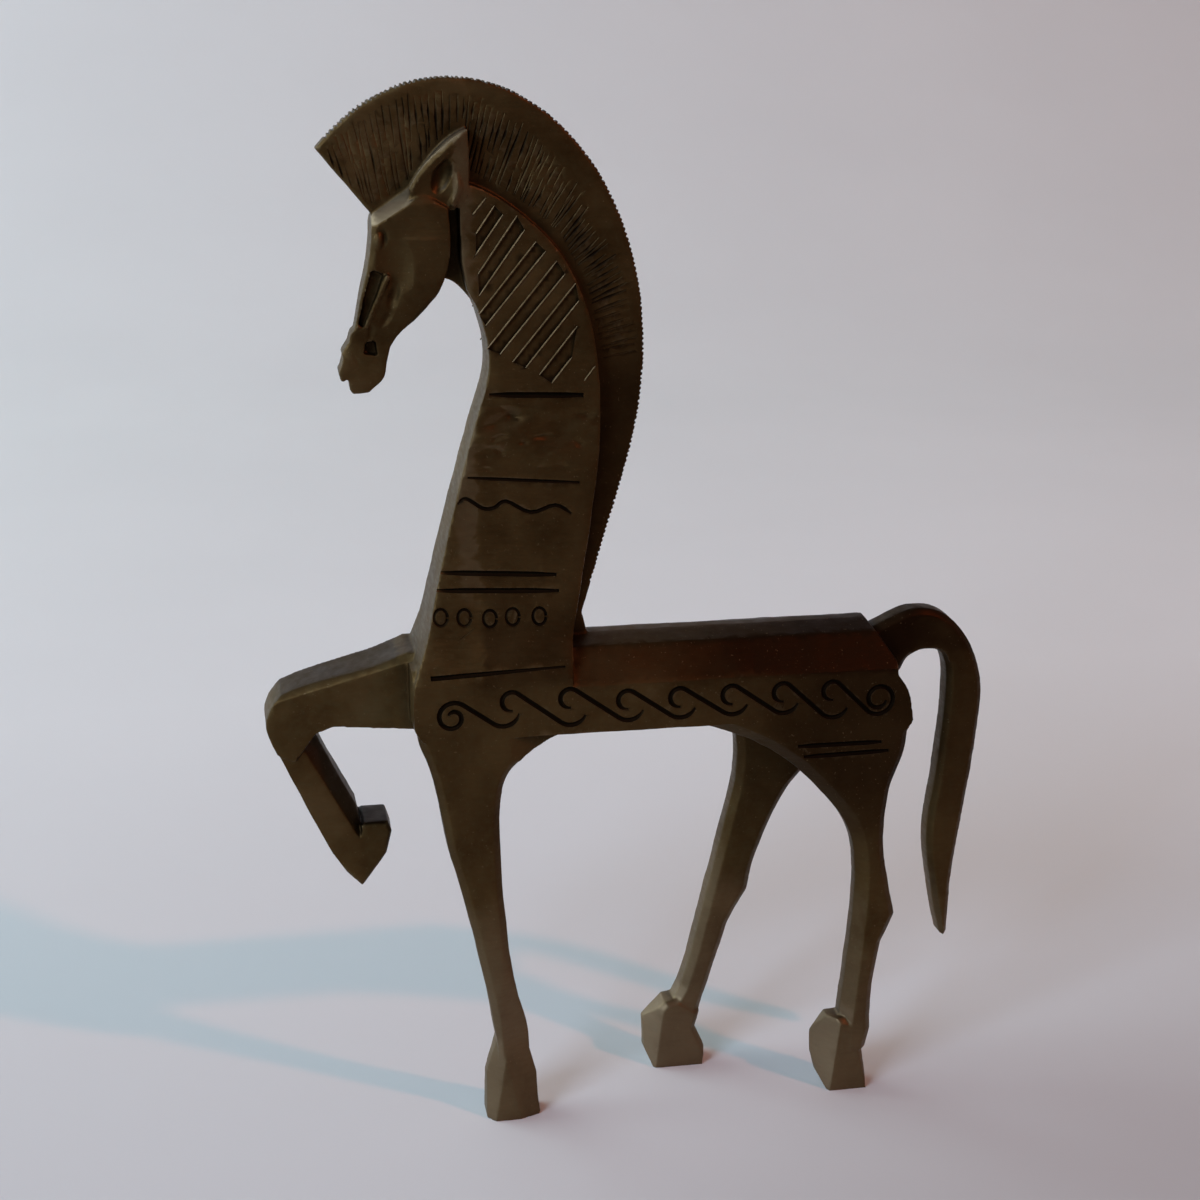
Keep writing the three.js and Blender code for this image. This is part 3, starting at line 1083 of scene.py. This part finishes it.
def write_depths(body, earlier, name):
    """Writes how deep each point lies below an earlier skin, looking straight out to its side."""
    tree = ray_tree(earlier)
    depths = []
    for vert in body.data.vertices:
        way = Vector((0, math.copysign(1, vert.co.y), 0))
        start = vert.co + way * SIDE_START + vert.normal * RAY_START
        _, facing, _, reach = tree.ray_cast(start, way, DEEPEST_CUT)
        sunk = facing and facing.dot(way) > 0.5 and vert.normal.dot(way) > -0.3
        depths.append(reach if sunk else 0.0)
    write_values(body.data, name, depths)


def write_cavities(body, reach=0.005, rays=14):
    """Writes how much of the view out of each point its own surroundings close off, which the patina turns
    into painted shade.
    """
    tree = ray_tree(body.data)
    fan = []
    for index in range(rays):
        height = 1 - (index + 0.5) / rays * 0.9
        turn = index * math.pi * (3 - math.sqrt(5))
        flat = math.sqrt(1 - height * height)
        fan.append(Vector((flat * math.cos(turn), flat * math.sin(turn), height)))
    whole = sum(way.z for way in fan)
    closed = []
    for vert in body.data.vertices:
        turned = vert.normal.to_track_quat("Z", "Y")
        start = vert.co + vert.normal * (2 * RAY_START)
        lost = 0.0
        for way in fan:
            span = tree.ray_cast(start, turned @ way, reach)[3]
            if span is not None:
                lost += way.z * (1 - span / reach)
        closed.append(lost / whole)
    write_values(body.data, "cavity", closed)


def write_bends(body):
    """Writes how sharply the skin bends out at each point, evened out over its neighbours."""
    bm = bmesh.new()
    bm.from_mesh(body.data)
    bm.normal_update()
    bends = []
    for vert in bm.verts:
        reach = [(edge.other_vert(vert).co - vert.co) for edge in vert.link_edges]
        bends.append(-sum(vert.normal.dot(way.normalized()) for way in reach) / max(len(reach), 1))
    calm = []
    for vert in bm.verts:
        around = [bends[edge.other_vert(vert).index] for edge in vert.link_edges]
        calm.append(0.5 * bends[vert.index] + 0.5 * sum(around) / max(len(around), 1))
    bm.free()
    write_values(body.data, "edge", calm)


def share_of(value, low, high):
    """How far the value lies from the first to the second, from 0 to 1."""
    return min(max((value - low) / (high - low), 0.0), 1.0)


# How strong each painted highlight, painted reflection, painted light and painted shade on the patina is
FORELEG_PAINTED_REFLECTION = 0.3
HIND_LEG_PAINTED_REFLECTION = 0.2
FAR_LEG_PAINTED_LIGHT = 0.12
HIND_FRONT_PAINTED_HIGHLIGHT = 0.16
HOOF_FRONT_PAINTED_HIGHLIGHT = 0.22
BROW_PAINTED_HIGHLIGHT = 0.95
NECK_PAINTED_SHEEN = 0.14
PASTERN_PAINTED_SHADE = 0.12
SHOULDER_PAINTED_SHADE = 0.1
BACK_PAINTED_SHADE = 0.6
HEEL_PAINTED_SHADE = 1.3
SHANK_REAR_PAINTED_SHADE = 0.55
FOREARM_TOP_PAINTED_SHADE = 0.65
HAUNCH_PAINTED_SHADE = 0.75
MANE_PAINTED_SHADOW = 0.45
CHEEK_PAINTED_SHADE = 0.25

# The way that the facets of the brow and the ears face which get the strongest painted highlight
PAINTED_HIGHLIGHT_WAY = Vector((-0.55, 0, 0.83))


def leg_painted_light(x, y, z, normal):
    """A painted floor reflection low on the legs, more on the far hind leg, painted highlights on the fronts
    of hind legs and hooves, painted shade at pastern and shoulder.
    """
    if x < 0:
        painted_light = FORELEG_PAINTED_REFLECTION * share_of(z, 40, 20) - PASTERN_PAINTED_SHADE * share_of(z, 15, 9)
        shoulder = share_of(x, -37, -34) * share_of(x, -6, -12) * share_of(z, 36, 46) * share_of(z, 86, 80)
        painted_light -= SHOULDER_PAINTED_SHADE * shoulder
    else:
        painted_light = HIND_LEG_PAINTED_REFLECTION * share_of(z, 28, 8) + FAR_LEG_PAINTED_LIGHT * share_of(y, 0, 3) * share_of(z, 50, 30)
        painted_light += HIND_FRONT_PAINTED_HIGHLIGHT * share_of(-normal.x, 0.4, 0.8) * share_of(z, 58, 44)
    if z < 14:
        painted_light += HOOF_FRONT_PAINTED_HIGHLIGHT * share_of(-normal.x, 0.35, 0.7)
    return painted_light


def head_painted_light(x, y, z, normal):
    """Painted highlights on the brow's and ears' facets that face up and forward, painted shade on the
    cheek's facets that face away.
    """
    lift = normal.dot(PAINTED_HIGHLIGHT_WAY)
    painted_light = 0.0
    if 138 < z < 153.5 and x < -24.5 and abs(y) > 1.6:
        painted_light += BROW_PAINTED_HIGHLIGHT * share_of(lift, 0.6, 0.85)
    if x <= -27 and z > 123 and abs(y) >= MANE_HALF + 0.4:
        painted_light -= CHEEK_PAINTED_SHADE * share_of(lift, 0.6, 0.4)
    return painted_light


def neck_painted_light(x, y, z):
    """A painted sheen on the neck's front half, and the neck's painted shadow on the mane behind it."""
    if abs(y) < MANE_HALF + 0.4:
        return -MANE_PAINTED_SHADOW * share_of(x, -16, -4) * share_of(z, 128, 116) * share_of(z, 78, 84)
    if -27 < x < -5 and z > 80:
        return NECK_PAINTED_SHEEN * share_of(x, -8, -20) * share_of(z, 80, 90)
    return 0.0


def back_painted_shade(x, z, normal):
    """Painted shade on the back's upward slanted panels and on the haunch, less on the tail."""
    painted_light = 0.0
    if x > -24:
        slope = abs(normal.y) * 0.76 + normal.z * 0.65
        painted_light -= BACK_PAINTED_SHADE * share_of(slope, 0.6, 0.98) * share_of(z, 71, 72)
    haunch = share_of(x, 2, 30) * share_of(z, 32, 54) * (1 - 0.4 * share_of(x, 43, 49))
    return painted_light - HAUNCH_PAINTED_SHADE * haunch


def raised_leg_painted_shade(x, z, normal):
    """Painted shade on the top of the raised forearm, the shank's rear and the heel's top."""
    painted_light = 0.0
    if x < -37 and 45 < z < 64:
        painted_light -= HEEL_PAINTED_SHADE * share_of(normal.z, 0.5, 0.8) * share_of(z, 50, 49)
        painted_light -= SHANK_REAR_PAINTED_SHADE * share_of(normal.x, 0.35, 0.6)
    if x < -36 and z > 62:
        painted_light -= FOREARM_TOP_PAINTED_SHADE * share_of(normal.z, 0.5, 0.8) * share_of(z, 100, 90)
    return painted_light


def write_painted_light(body):
    """Writes the painted light, above 0, and the painted shade, below 0, of each point."""
    painted_light_and_shade = []
    for vert in body.data.vertices:
        x, y, z = vert.co / MM
        normal = vert.normal
        painted_light = leg_painted_light(x, y, z, normal) + head_painted_light(x, y, z, normal) + neck_painted_light(x, y, z)
        painted_light_and_shade.append(painted_light + back_painted_shade(x, z, normal) + raised_leg_painted_shade(x, z, normal))
    write_values(body.data, "painted_light_and_shade", painted_light_and_shade)


class Nodes:
    """A short way to write a material's or a world's nodes."""

    def __init__(self, tree):
        self.tree = tree
        tree.nodes.clear()

    def feed(self, socket, value):
        """Gives an input its value, or joins it to another node's output."""
        if isinstance(value, bpy.types.NodeSocket):
            self.tree.links.new(value, socket)
        else:
            socket.default_value = value

    def add(self, kind, inputs=None, **settings):
        """A node with its settings and its inputs by name."""
        node = self.tree.nodes.new(kind)
        for key, value in settings.items():
            setattr(node, key, value)
        for key, value in (inputs or {}).items():
            self.feed(node.inputs[key], value)
        return node

    def place(self):
        """Where a point is on its piece."""
        return self.add("ShaderNodeTexCoord").outputs["Object"]

    def grain(self, place, scale, detail, roughness=0.5):
        """An uneven pattern, as a value."""
        inputs = {"Vector": place, "Scale": scale, "Detail": detail, "Roughness": roughness}
        return self.add("ShaderNodeTexNoise", inputs).outputs["Fac"]

    def written(self, name):
        """A value that the mesh carries."""
        return self.add("ShaderNodeAttribute", attribute_name=name).outputs["Fac"]

    def mix(self, share, first, second):
        """A colour between two, by a share."""
        node = self.add("ShaderNodeMix", data_type="RGBA")
        self.feed(node.inputs["Factor"], share)
        self.feed(node.inputs[6], first)
        self.feed(node.inputs[7], second)
        return node.outputs[2]

    def spread(self, value, low, high, first=0.0, second=1.0):
        """A value stretched from one range to another and held inside it."""
        inputs = {"Value": value, "From Min": low, "From Max": high, "To Min": first, "To Max": second}
        return self.add("ShaderNodeMapRange", inputs).outputs["Result"]

    def math(self, operation, first, second):
        """One sum on two values."""
        node = self.add("ShaderNodeMath", operation=operation)
        self.feed(node.inputs[0], first)
        self.feed(node.inputs[1], second)
        return node.outputs[0]

    def finish(self, kind, socket, shader):
        """The output node."""
        self.add(kind, {socket: shader})


# How deep a cut or a band lies, in metres, where its dark starts and where it is full
CUT_DEPTHS = (0.00003, 0.00016)
BAND_DEPTHS = (0.00012, 0.0003)
# How closed in a corner is where its painted shade starts and is full, and the same for the bend of an edge
# where bare bronze and a painted highlight show
CLOSED_IN = (0.04, 0.34)
BRIGHT_EDGE_BEND = (0.12, 0.36)
# How strongly each of these shows in the colour
BRIGHT_EDGE_SHOWS = 0.5
FLECKS_SHOW = 0.3
BANDS_SHOW = 0.08
CLOSED_SHOWS = 0.7
CUTS_SHOW = 0.8
# The middle part of an uneven pattern, and the little that it adds to the painted light and shade and to the
# edges
PATTERN = (0.3, 0.7)
UNEVEN = (-0.05, 0.05)


def bronze_colour(nodes, finish, broad, fine, flecks, cuts, rubbed):
    """The patina: two browns with olive specks, painted light and painted shade, bare bronze with a painted
    highlight on the edges, painted shade in closed-in corners, dark in the cuts.
    """
    painted_light_and_shade = nodes.math("ADD", nodes.written("painted_light_and_shade"), nodes.spread(broad, *PATTERN, *UNEVEN))
    # Painted shade in closed-in corners and gaps.
    closed = nodes.spread(nodes.written("cavity"), *CLOSED_IN)
    banded = nodes.spread(nodes.written("band"), *BAND_DEPTHS)
    colour = nodes.mix(nodes.spread(broad, 0.36, 0.64), (*finish.patina_dark, 1), (*finish.patina_light, 1))
    # Painted light and painted shade are mixed in here, beside the specks, the bright edges with their
    # painted highlight, the flecks and the dark patina of the cuts and bands.
    layers = (
        (nodes.spread(fine, 0.42, 0.7, 0.0, 0.35), finish.patina_green),
        (nodes.spread(painted_light_and_shade, 0.0, 1.0), finish.painted_light),
        (nodes.spread(painted_light_and_shade, 0.0, -1.0), finish.painted_shade),
        (nodes.math("MULTIPLY", rubbed, BRIGHT_EDGE_SHOWS), finish.bright_bronze),
        (nodes.math("MULTIPLY", flecks, FLECKS_SHOW), finish.bright_bronze),
        (nodes.math("MULTIPLY", banded, BANDS_SHOW), finish.cut_patina_and_shade),
        (nodes.math("MULTIPLY", closed, CLOSED_SHOWS), finish.cut_patina_and_shade),
        (nodes.math("MULTIPLY", cuts, CUTS_SHOW), finish.cut_patina_and_shade),
    )
    for share, tone in layers:
        colour = nodes.mix(share, colour, (*tone, 1))
    return colour


def bronze_material(finish):
    """Dark brown patina on cast bronze: uneven, darker in the cuts, with painted light and shade, and bright
    along the edges from handling and a painted highlight.
    """
    material = bpy.data.materials.new("bronze")
    material.use_nodes = True
    nodes = Nodes(material.node_tree)
    place = nodes.place()
    broad = nodes.grain(place, 90.0, 4.0, 0.6)
    fine = nodes.grain(place, 900.0, 3.0, 0.65)
    drawn_out = nodes.add("ShaderNodeMapping", {
        "Vector": place, "Rotation": (0.0, 0.5, 0.0), "Scale": (1.0, 1.0, 5.0)}).outputs["Vector"]
    scrape = nodes.grain(drawn_out, 420.0, 2.0)
    flecks = nodes.spread(nodes.grain(place, 2600.0, 1.0), 0.7, 0.78)
    cuts = nodes.spread(nodes.written("hollow"), *CUT_DEPTHS)
    bend = nodes.math("ADD", nodes.written("edge"), nodes.spread(fine, *PATTERN, *UNEVEN))
    # Edges where handling has bared the bronze, which also carry a painted highlight.
    rubbed = nodes.spread(bend, *BRIGHT_EDGE_BEND)
    dullness = nodes.math("ADD", nodes.spread(broad, *PATTERN, 0.44, 0.58),
                          nodes.spread(scrape, *PATTERN, -0.05, 0.07))
    dullness = nodes.math("ADD", dullness, nodes.math("MULTIPLY", cuts, 0.2))
    relief = nodes.math("ADD", nodes.math("MULTIPLY", scrape, 0.6), nodes.math("MULTIPLY", fine, 0.5))
    bump = nodes.add("ShaderNodeBump", {"Strength": 0.35, "Distance": 0.00012, "Height": relief})
    shader = nodes.add("ShaderNodeBsdfPrincipled", {
        "Base Color": bronze_colour(nodes, finish, broad, fine, flecks, cuts, rubbed),
        "Roughness": dullness,
        "Normal": bump.outputs["Normal"],
        "Metallic": nodes.spread(rubbed, 0.0, 1.0, 0.86, 0.98),
        "Specular IOR Level": 0.2,
    })
    nodes.finish("ShaderNodeOutputMaterial", "Surface", shader.outputs["BSDF"])
    return material


# The sheet's tones: two that mix behind the horse, and painted shade around it, stronger in front and to the
# right where the light falls off
PAPER_TONES = ((0.79, 0.79, 0.80, 1), (0.82, 0.82, 0.83, 1))
PAPER_NEAR_SHADE = (0.61, 0.61, 0.62, 1)
PAPER_FRONT_SHADE = (0.25, 0.235, 0.22, 1)
PAPER_RIGHT_SHADE = (0.17, 0.13, 0.10, 1)


def paper_material():
    """The pale, plain sheet that the horse stands on, with painted shade towards the front and the right."""
    material = bpy.data.materials.new("pale_paper")
    material.use_nodes = True
    nodes = Nodes(material.node_tree)
    place = nodes.place()
    sides = nodes.add("ShaderNodeSeparateXYZ", {"Vector": place})
    depth = sides.outputs["Y"]
    corner = nodes.math("SUBTRACT", sides.outputs["X"], nodes.math("MULTIPLY", depth, 1.2))
    colour = nodes.mix(nodes.spread(nodes.grain(place, 7.0, 3.0), *PATTERN), *PAPER_TONES)
    # Painted shade: the sheet darkens around the horse and more towards the front and the right, where the
    # light falls off.
    colour = nodes.mix(nodes.spread(depth, 0.2, -0.08), colour, PAPER_NEAR_SHADE)
    colour = nodes.mix(nodes.spread(depth, -0.07, -0.32), colour, PAPER_FRONT_SHADE)
    colour = nodes.mix(nodes.spread(corner, 0.02, 0.28, 0.0, 0.5), colour, PAPER_RIGHT_SHADE)
    shader = nodes.add("ShaderNodeBsdfPrincipled", {"Base Color": colour, "Roughness": 0.85})
    nodes.finish("ShaderNodeOutputMaterial", "Surface", shader.outputs["BSDF"])
    return material


# The sheet in metres: half its width, where it starts and bends up, how wide the bend is, and its height
SHEET_HALF = 2.8
SHEET_FRONT = -2.8
SHEET_BACK = 0.55
SHEET_BEND = 0.5
SHEET_RISE = 1.6


def run_on(bm, edges, way):
    """Draws the edges out along a way. Returns the new edges."""
    grown = bmesh.ops.extrude_edge_only(bm, edges=edges)["geom"]
    bmesh.ops.translate(bm, vec=way, verts=[item for item in grown if isinstance(item, bmesh.types.BMVert)])
    return [item for item in grown if isinstance(item, bmesh.types.BMEdge)]


def cyclorama():
    """A wide sheet that lies flat under the horse and curves up behind it."""
    bm = bmesh.new()
    corners = [bm.verts.new((x, SHEET_FRONT, 0)) for x in (-SHEET_HALF, SHEET_HALF)]
    flat = run_on(bm, [bm.edges.new(corners)], (0, SHEET_BACK - SHEET_FRONT, 0))
    rear = [edge for edge in flat if all(abs(vert.co.y - SHEET_BACK) < 1e-6 for vert in edge.verts)]
    centre = (0, SHEET_BACK, SHEET_BEND)
    bend = bmesh.ops.spin(bm, geom=rear, cent=centre, axis=(1, 0, 0), angle=math.pi / 2, steps=24)
    last = [item for item in bend["geom_last"] if isinstance(item, bmesh.types.BMEdge)]
    run_on(bm, last, (0, 0, SHEET_RISE))
    bmesh.ops.remove_doubles(bm, verts=bm.verts, dist=1e-6)
    bmesh.ops.recalc_face_normals(bm, faces=bm.faces)
    sheet = mesh_object("pale_sheet", bm)
    for face in sheet.data.polygons:
        face.use_smooth = True
    return sheet


def lamp(name, way, distance, size, power, colour, target=(0.0, 0.0, 0.07)):
    """A square light that shines on the horse, or a place near it, from this direction."""
    light = bpy.data.lights.new(name, "AREA")
    light.shape = "SQUARE"
    light.size = size
    light.energy = power
    light.color = colour
    holder = bpy.data.objects.new(name, light)
    holder.location = Vector(target) + Vector(way).normalized() * distance
    holder.rotation_euler = (Vector(target) - holder.location).to_track_quat("-Z", "Y").to_euler()
    bpy.context.scene.collection.objects.link(holder)


def room(studio):
    """The dim room around the stage: warm on the right, cooler and brighter to the left."""
    world = bpy.data.worlds.new("room")
    world.use_nodes = True
    nodes = Nodes(world.node_tree)
    way = nodes.add("ShaderNodeTexCoord").outputs["Generated"]
    parts = nodes.add("ShaderNodeSeparateXYZ", {"Vector": way})
    up = nodes.spread(parts.outputs["Z"], 0.15, 0.75)
    left = nodes.spread(parts.outputs["X"], -0.25, -0.9)
    right = nodes.spread(parts.outputs["X"], 0.25, 0.9)
    colour = nodes.mix(up, (*studio.room_level, 1), (*studio.room_ceiling, 1))
    colour = nodes.mix(right, colour, (*studio.room_right, 1))
    colour = nodes.mix(left, colour, (*studio.room_left, 1))
    back = nodes.add("ShaderNodeBackground", {"Color": colour, "Strength": studio.room_strength})
    nodes.finish("ShaderNodeOutputWorld", "Surface", back.outputs["Background"])
    bpy.context.scene.world = world


class HorseSizes(bpy.types.PropertyGroup):
    """The sizes of the horse that a user may change."""

    casting_grain: bpy.props.FloatProperty(
        name="Casting grain", description="Size of the finest detail that the casting keeps",
        default=0.0002, min=0.0001, unit="LENGTH")
    plain_triangles: bpy.props.IntProperty(
        name="Plain triangles", description="Triangles of the figure before it is engraved",
        default=70000)
    hand: bpy.props.IntProperty(
        name="Hand", description="Changes how the strokes of the mane fall",
        default=11)


class BronzeFinish(bpy.types.PropertyGroup):
    """The colours of the bronze, among them those of its painted light and painted shade."""

    patina_dark: bpy.props.FloatVectorProperty(
        name="Dark patina", description="The darker brown of the patina",
        default=(0.066, 0.036, 0.0115), subtype="COLOR")
    patina_light: bpy.props.FloatVectorProperty(
        name="Light patina", description="The lighter brown of the patina",
        default=(0.098, 0.058, 0.0205), subtype="COLOR")
    patina_green: bpy.props.FloatVectorProperty(
        name="Olive specks", description="The grey olive specks in the patina",
        default=(0.092, 0.068, 0.029), subtype="COLOR")
    # Bare bronze where handling thins the patina along the edges, which also stands in for the painted
    # highlight there; the bright flecks use it too.
    bright_bronze: bpy.props.FloatVectorProperty(
        name="Rubbed edge", description="Bronze that shows where hands have rubbed the patina",
        default=(0.24, 0.17, 0.095), subtype="COLOR")
    # The colour of the painted light: painted highlights and painted reflections on facets that face the
    # lights or the pale floor.
    painted_light: bpy.props.FloatVectorProperty(
        name="Worn patina", description="Bronze where handling has thinned the patina",
        default=(0.3, 0.225, 0.145), subtype="COLOR")
    # The colour of the painted shade on facets and parts that face away from the light or lie in shadow.
    painted_shade: bpy.props.FloatVectorProperty(
        name="Thick patina", description="The deep brown where nobody rubs the bronze",
        default=(0.018, 0.0075, 0.002), subtype="COLOR")
    # Dark patina in the cut lines and bands, also used as painted shade in closed-in corners.
    cut_patina_and_shade: bpy.props.FloatVectorProperty(
        name="Cut lines", description="The dark patina left in the cut lines",
        default=(0.006, 0.003, 0.001), subtype="COLOR")


class StudioSettings(bpy.types.PropertyGroup):
    """The stage's lights and camera."""

    lens: bpy.props.FloatProperty(
        name="Lens", description="Focal length of the camera in millimetres",
        default=66.0)
    key_power: bpy.props.FloatProperty(
        name="Window power", description="Power of the cool light on the left, in front",
        default=9.2, unit="POWER")
    warm_power: bpy.props.FloatProperty(
        name="Lamp power", description="Power of the small warm light on the right",
        default=6.2, unit="POWER")
    side_power: bpy.props.FloatProperty(
        name="Side power", description="Power of the broad light on the left, behind",
        default=10.8, unit="POWER")
    room_strength: bpy.props.FloatProperty(
        name="Room", description="How bright the room around the stage is",
        default=1.0)
    room_level: bpy.props.FloatVectorProperty(
        name="Room, level", description="Colour of the room near the floor's level",
        default=(0.15, 0.15, 0.13), subtype="COLOR")
    room_ceiling: bpy.props.FloatVectorProperty(
        name="Room, ceiling", description="Colour of the room's ceiling",
        default=(0.10, 0.11, 0.1), subtype="COLOR")
    room_right: bpy.props.FloatVectorProperty(
        name="Room, right", description="Colour of the room to the right",
        default=(0.2, 0.16, 0.13), subtype="COLOR")
    room_left: bpy.props.FloatVectorProperty(
        name="Room, left", description="Colour of the room to the left",
        default=(0.45, 0.5, 0.52), subtype="COLOR")


# The camera's place in metres, its tilt up from straight down and its turn to the left, both in degrees
CAMERA_PLACE = (-0.06245, -0.31587, 0.17801)
CAMERA_TILT = 73.4
CAMERA_TURN = -10.3
SENSOR_WIDTH = 36
NEAREST_SEEN = 0.01


def camera(studio):
    """The camera, at the photograph's viewing angle."""
    view = bpy.data.cameras.new("camera")
    view.lens = studio.lens
    view.sensor_width = SENSOR_WIDTH
    view.clip_start = NEAREST_SEEN
    holder = bpy.data.objects.new("camera", view)
    holder.location = CAMERA_PLACE
    holder.rotation_euler = (math.radians(CAMERA_TILT), 0, math.radians(CAMERA_TURN))
    bpy.context.scene.collection.objects.link(holder)
    bpy.context.scene.camera = holder


class BRONZEHORSE_OT_stage(bpy.types.Operator):
    """Sets up the pale sheet, the three lights, the room and the camera"""

    bl_idname = "bronzehorse.stage"
    bl_label = "Stage"

    def execute(self, context):
        """Makes the stage."""
        studio = context.scene.horse_studio
        sheet = cyclorama()
        sheet.data.materials.append(paper_material())
        lamp("window_light", (-0.65, -0.60, 0.46), 1.3, 0.5, studio.key_power, (0.62, 0.78, 1.0))
        lamp("warm_light", (0.935, -0.783, 1.0), 1.6, 0.07, studio.warm_power, (1.0, 0.29, 0.15))
        lamp("side_light", (-0.9, 0.35, 0.65), 1.3, 1.2, studio.side_power, (0.78, 0.96, 1.0),
             target=(0.0, 0.15, 0.07))
        room(studio)
        camera(studio)
        context.scene.view_settings.view_transform = "Standard"
        return {"FINISHED"}


class BRONZEHORSE_OT_horse(bpy.types.Operator):
    """Builds the bronze horse with its strokes and patina"""

    bl_idname = "bronzehorse.horse"
    bl_label = "Horse"

    def execute(self, context):
        """Makes the horse."""
        sizes = context.scene.horse_sizes
        body = cast_body(sizes)
        whole, banded = engrave(body, sizes)
        for mesh in (whole, banded, body.data):
            mesh.transform(Matrix.Scale(MM, 4))
        inside_box(body)
        write_depths(body, banded, "hollow")
        write_depths(body, whole, "band")
        write_cavities(body)
        write_painted_light(body)
        write_bends(body)
        for mesh in (whole, banded):
            bpy.data.meshes.remove(mesh)
        body.data.shade_smooth()
        body.data.set_sharp_from_angle(angle=math.radians(SHARP_ANGLE))
        body.name = "bronze_horse"
        body.data.name = "bronze_horse"
        body.data.materials.clear()
        body.data.materials.append(bronze_material(context.scene.horse_finish))
        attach(body, "root")
        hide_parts("horse")
        return {"FINISHED"}


class BRONZEHORSE_PT_panel(bpy.types.Panel):
    """Lists the steps that build the bronze horse"""

    bl_idname = "BRONZEHORSE_PT_panel"
    bl_label = "Bronze Horse"
    bl_space_type = "VIEW_3D"
    bl_region_type = "UI"
    bl_category = "Bronze Horse"

    def draw(self, context):
        """Draws the buttons and the settings."""
        for step in STEPS:
            self.layout.operator(step.bl_idname)
        for group in (context.scene.horse_sizes, context.scene.horse_finish, context.scene.horse_studio):
            for key in group.__annotations__:
                self.layout.prop(group, key)


STEPS = (BRONZEHORSE_OT_stage, BRONZEHORSE_OT_horse)
CLASSES = (HorseSizes, BronzeFinish, StudioSettings) + STEPS + (BRONZEHORSE_PT_panel,)


def register():
    """Registers the classes and the settings."""
    for item in CLASSES:
        bpy.utils.register_class(item)
    bpy.types.Scene.horse_sizes = bpy.props.PointerProperty(type=HorseSizes)
    bpy.types.Scene.horse_finish = bpy.props.PointerProperty(type=BronzeFinish)
    bpy.types.Scene.horse_studio = bpy.props.PointerProperty(type=StudioSettings)


def unregister():
    """Removes the settings and the classes."""
    del bpy.types.Scene.horse_studio
    del bpy.types.Scene.horse_finish
    del bpy.types.Scene.horse_sizes
    for item in reversed(CLASSES):
        bpy.utils.unregister_class(item)


def main():
    """Builds the stage and the horse."""
    register()
    bpy.ops.bronzehorse.stage()
    bpy.ops.bronzehorse.horse()


if __name__ == "__main__":
    main()
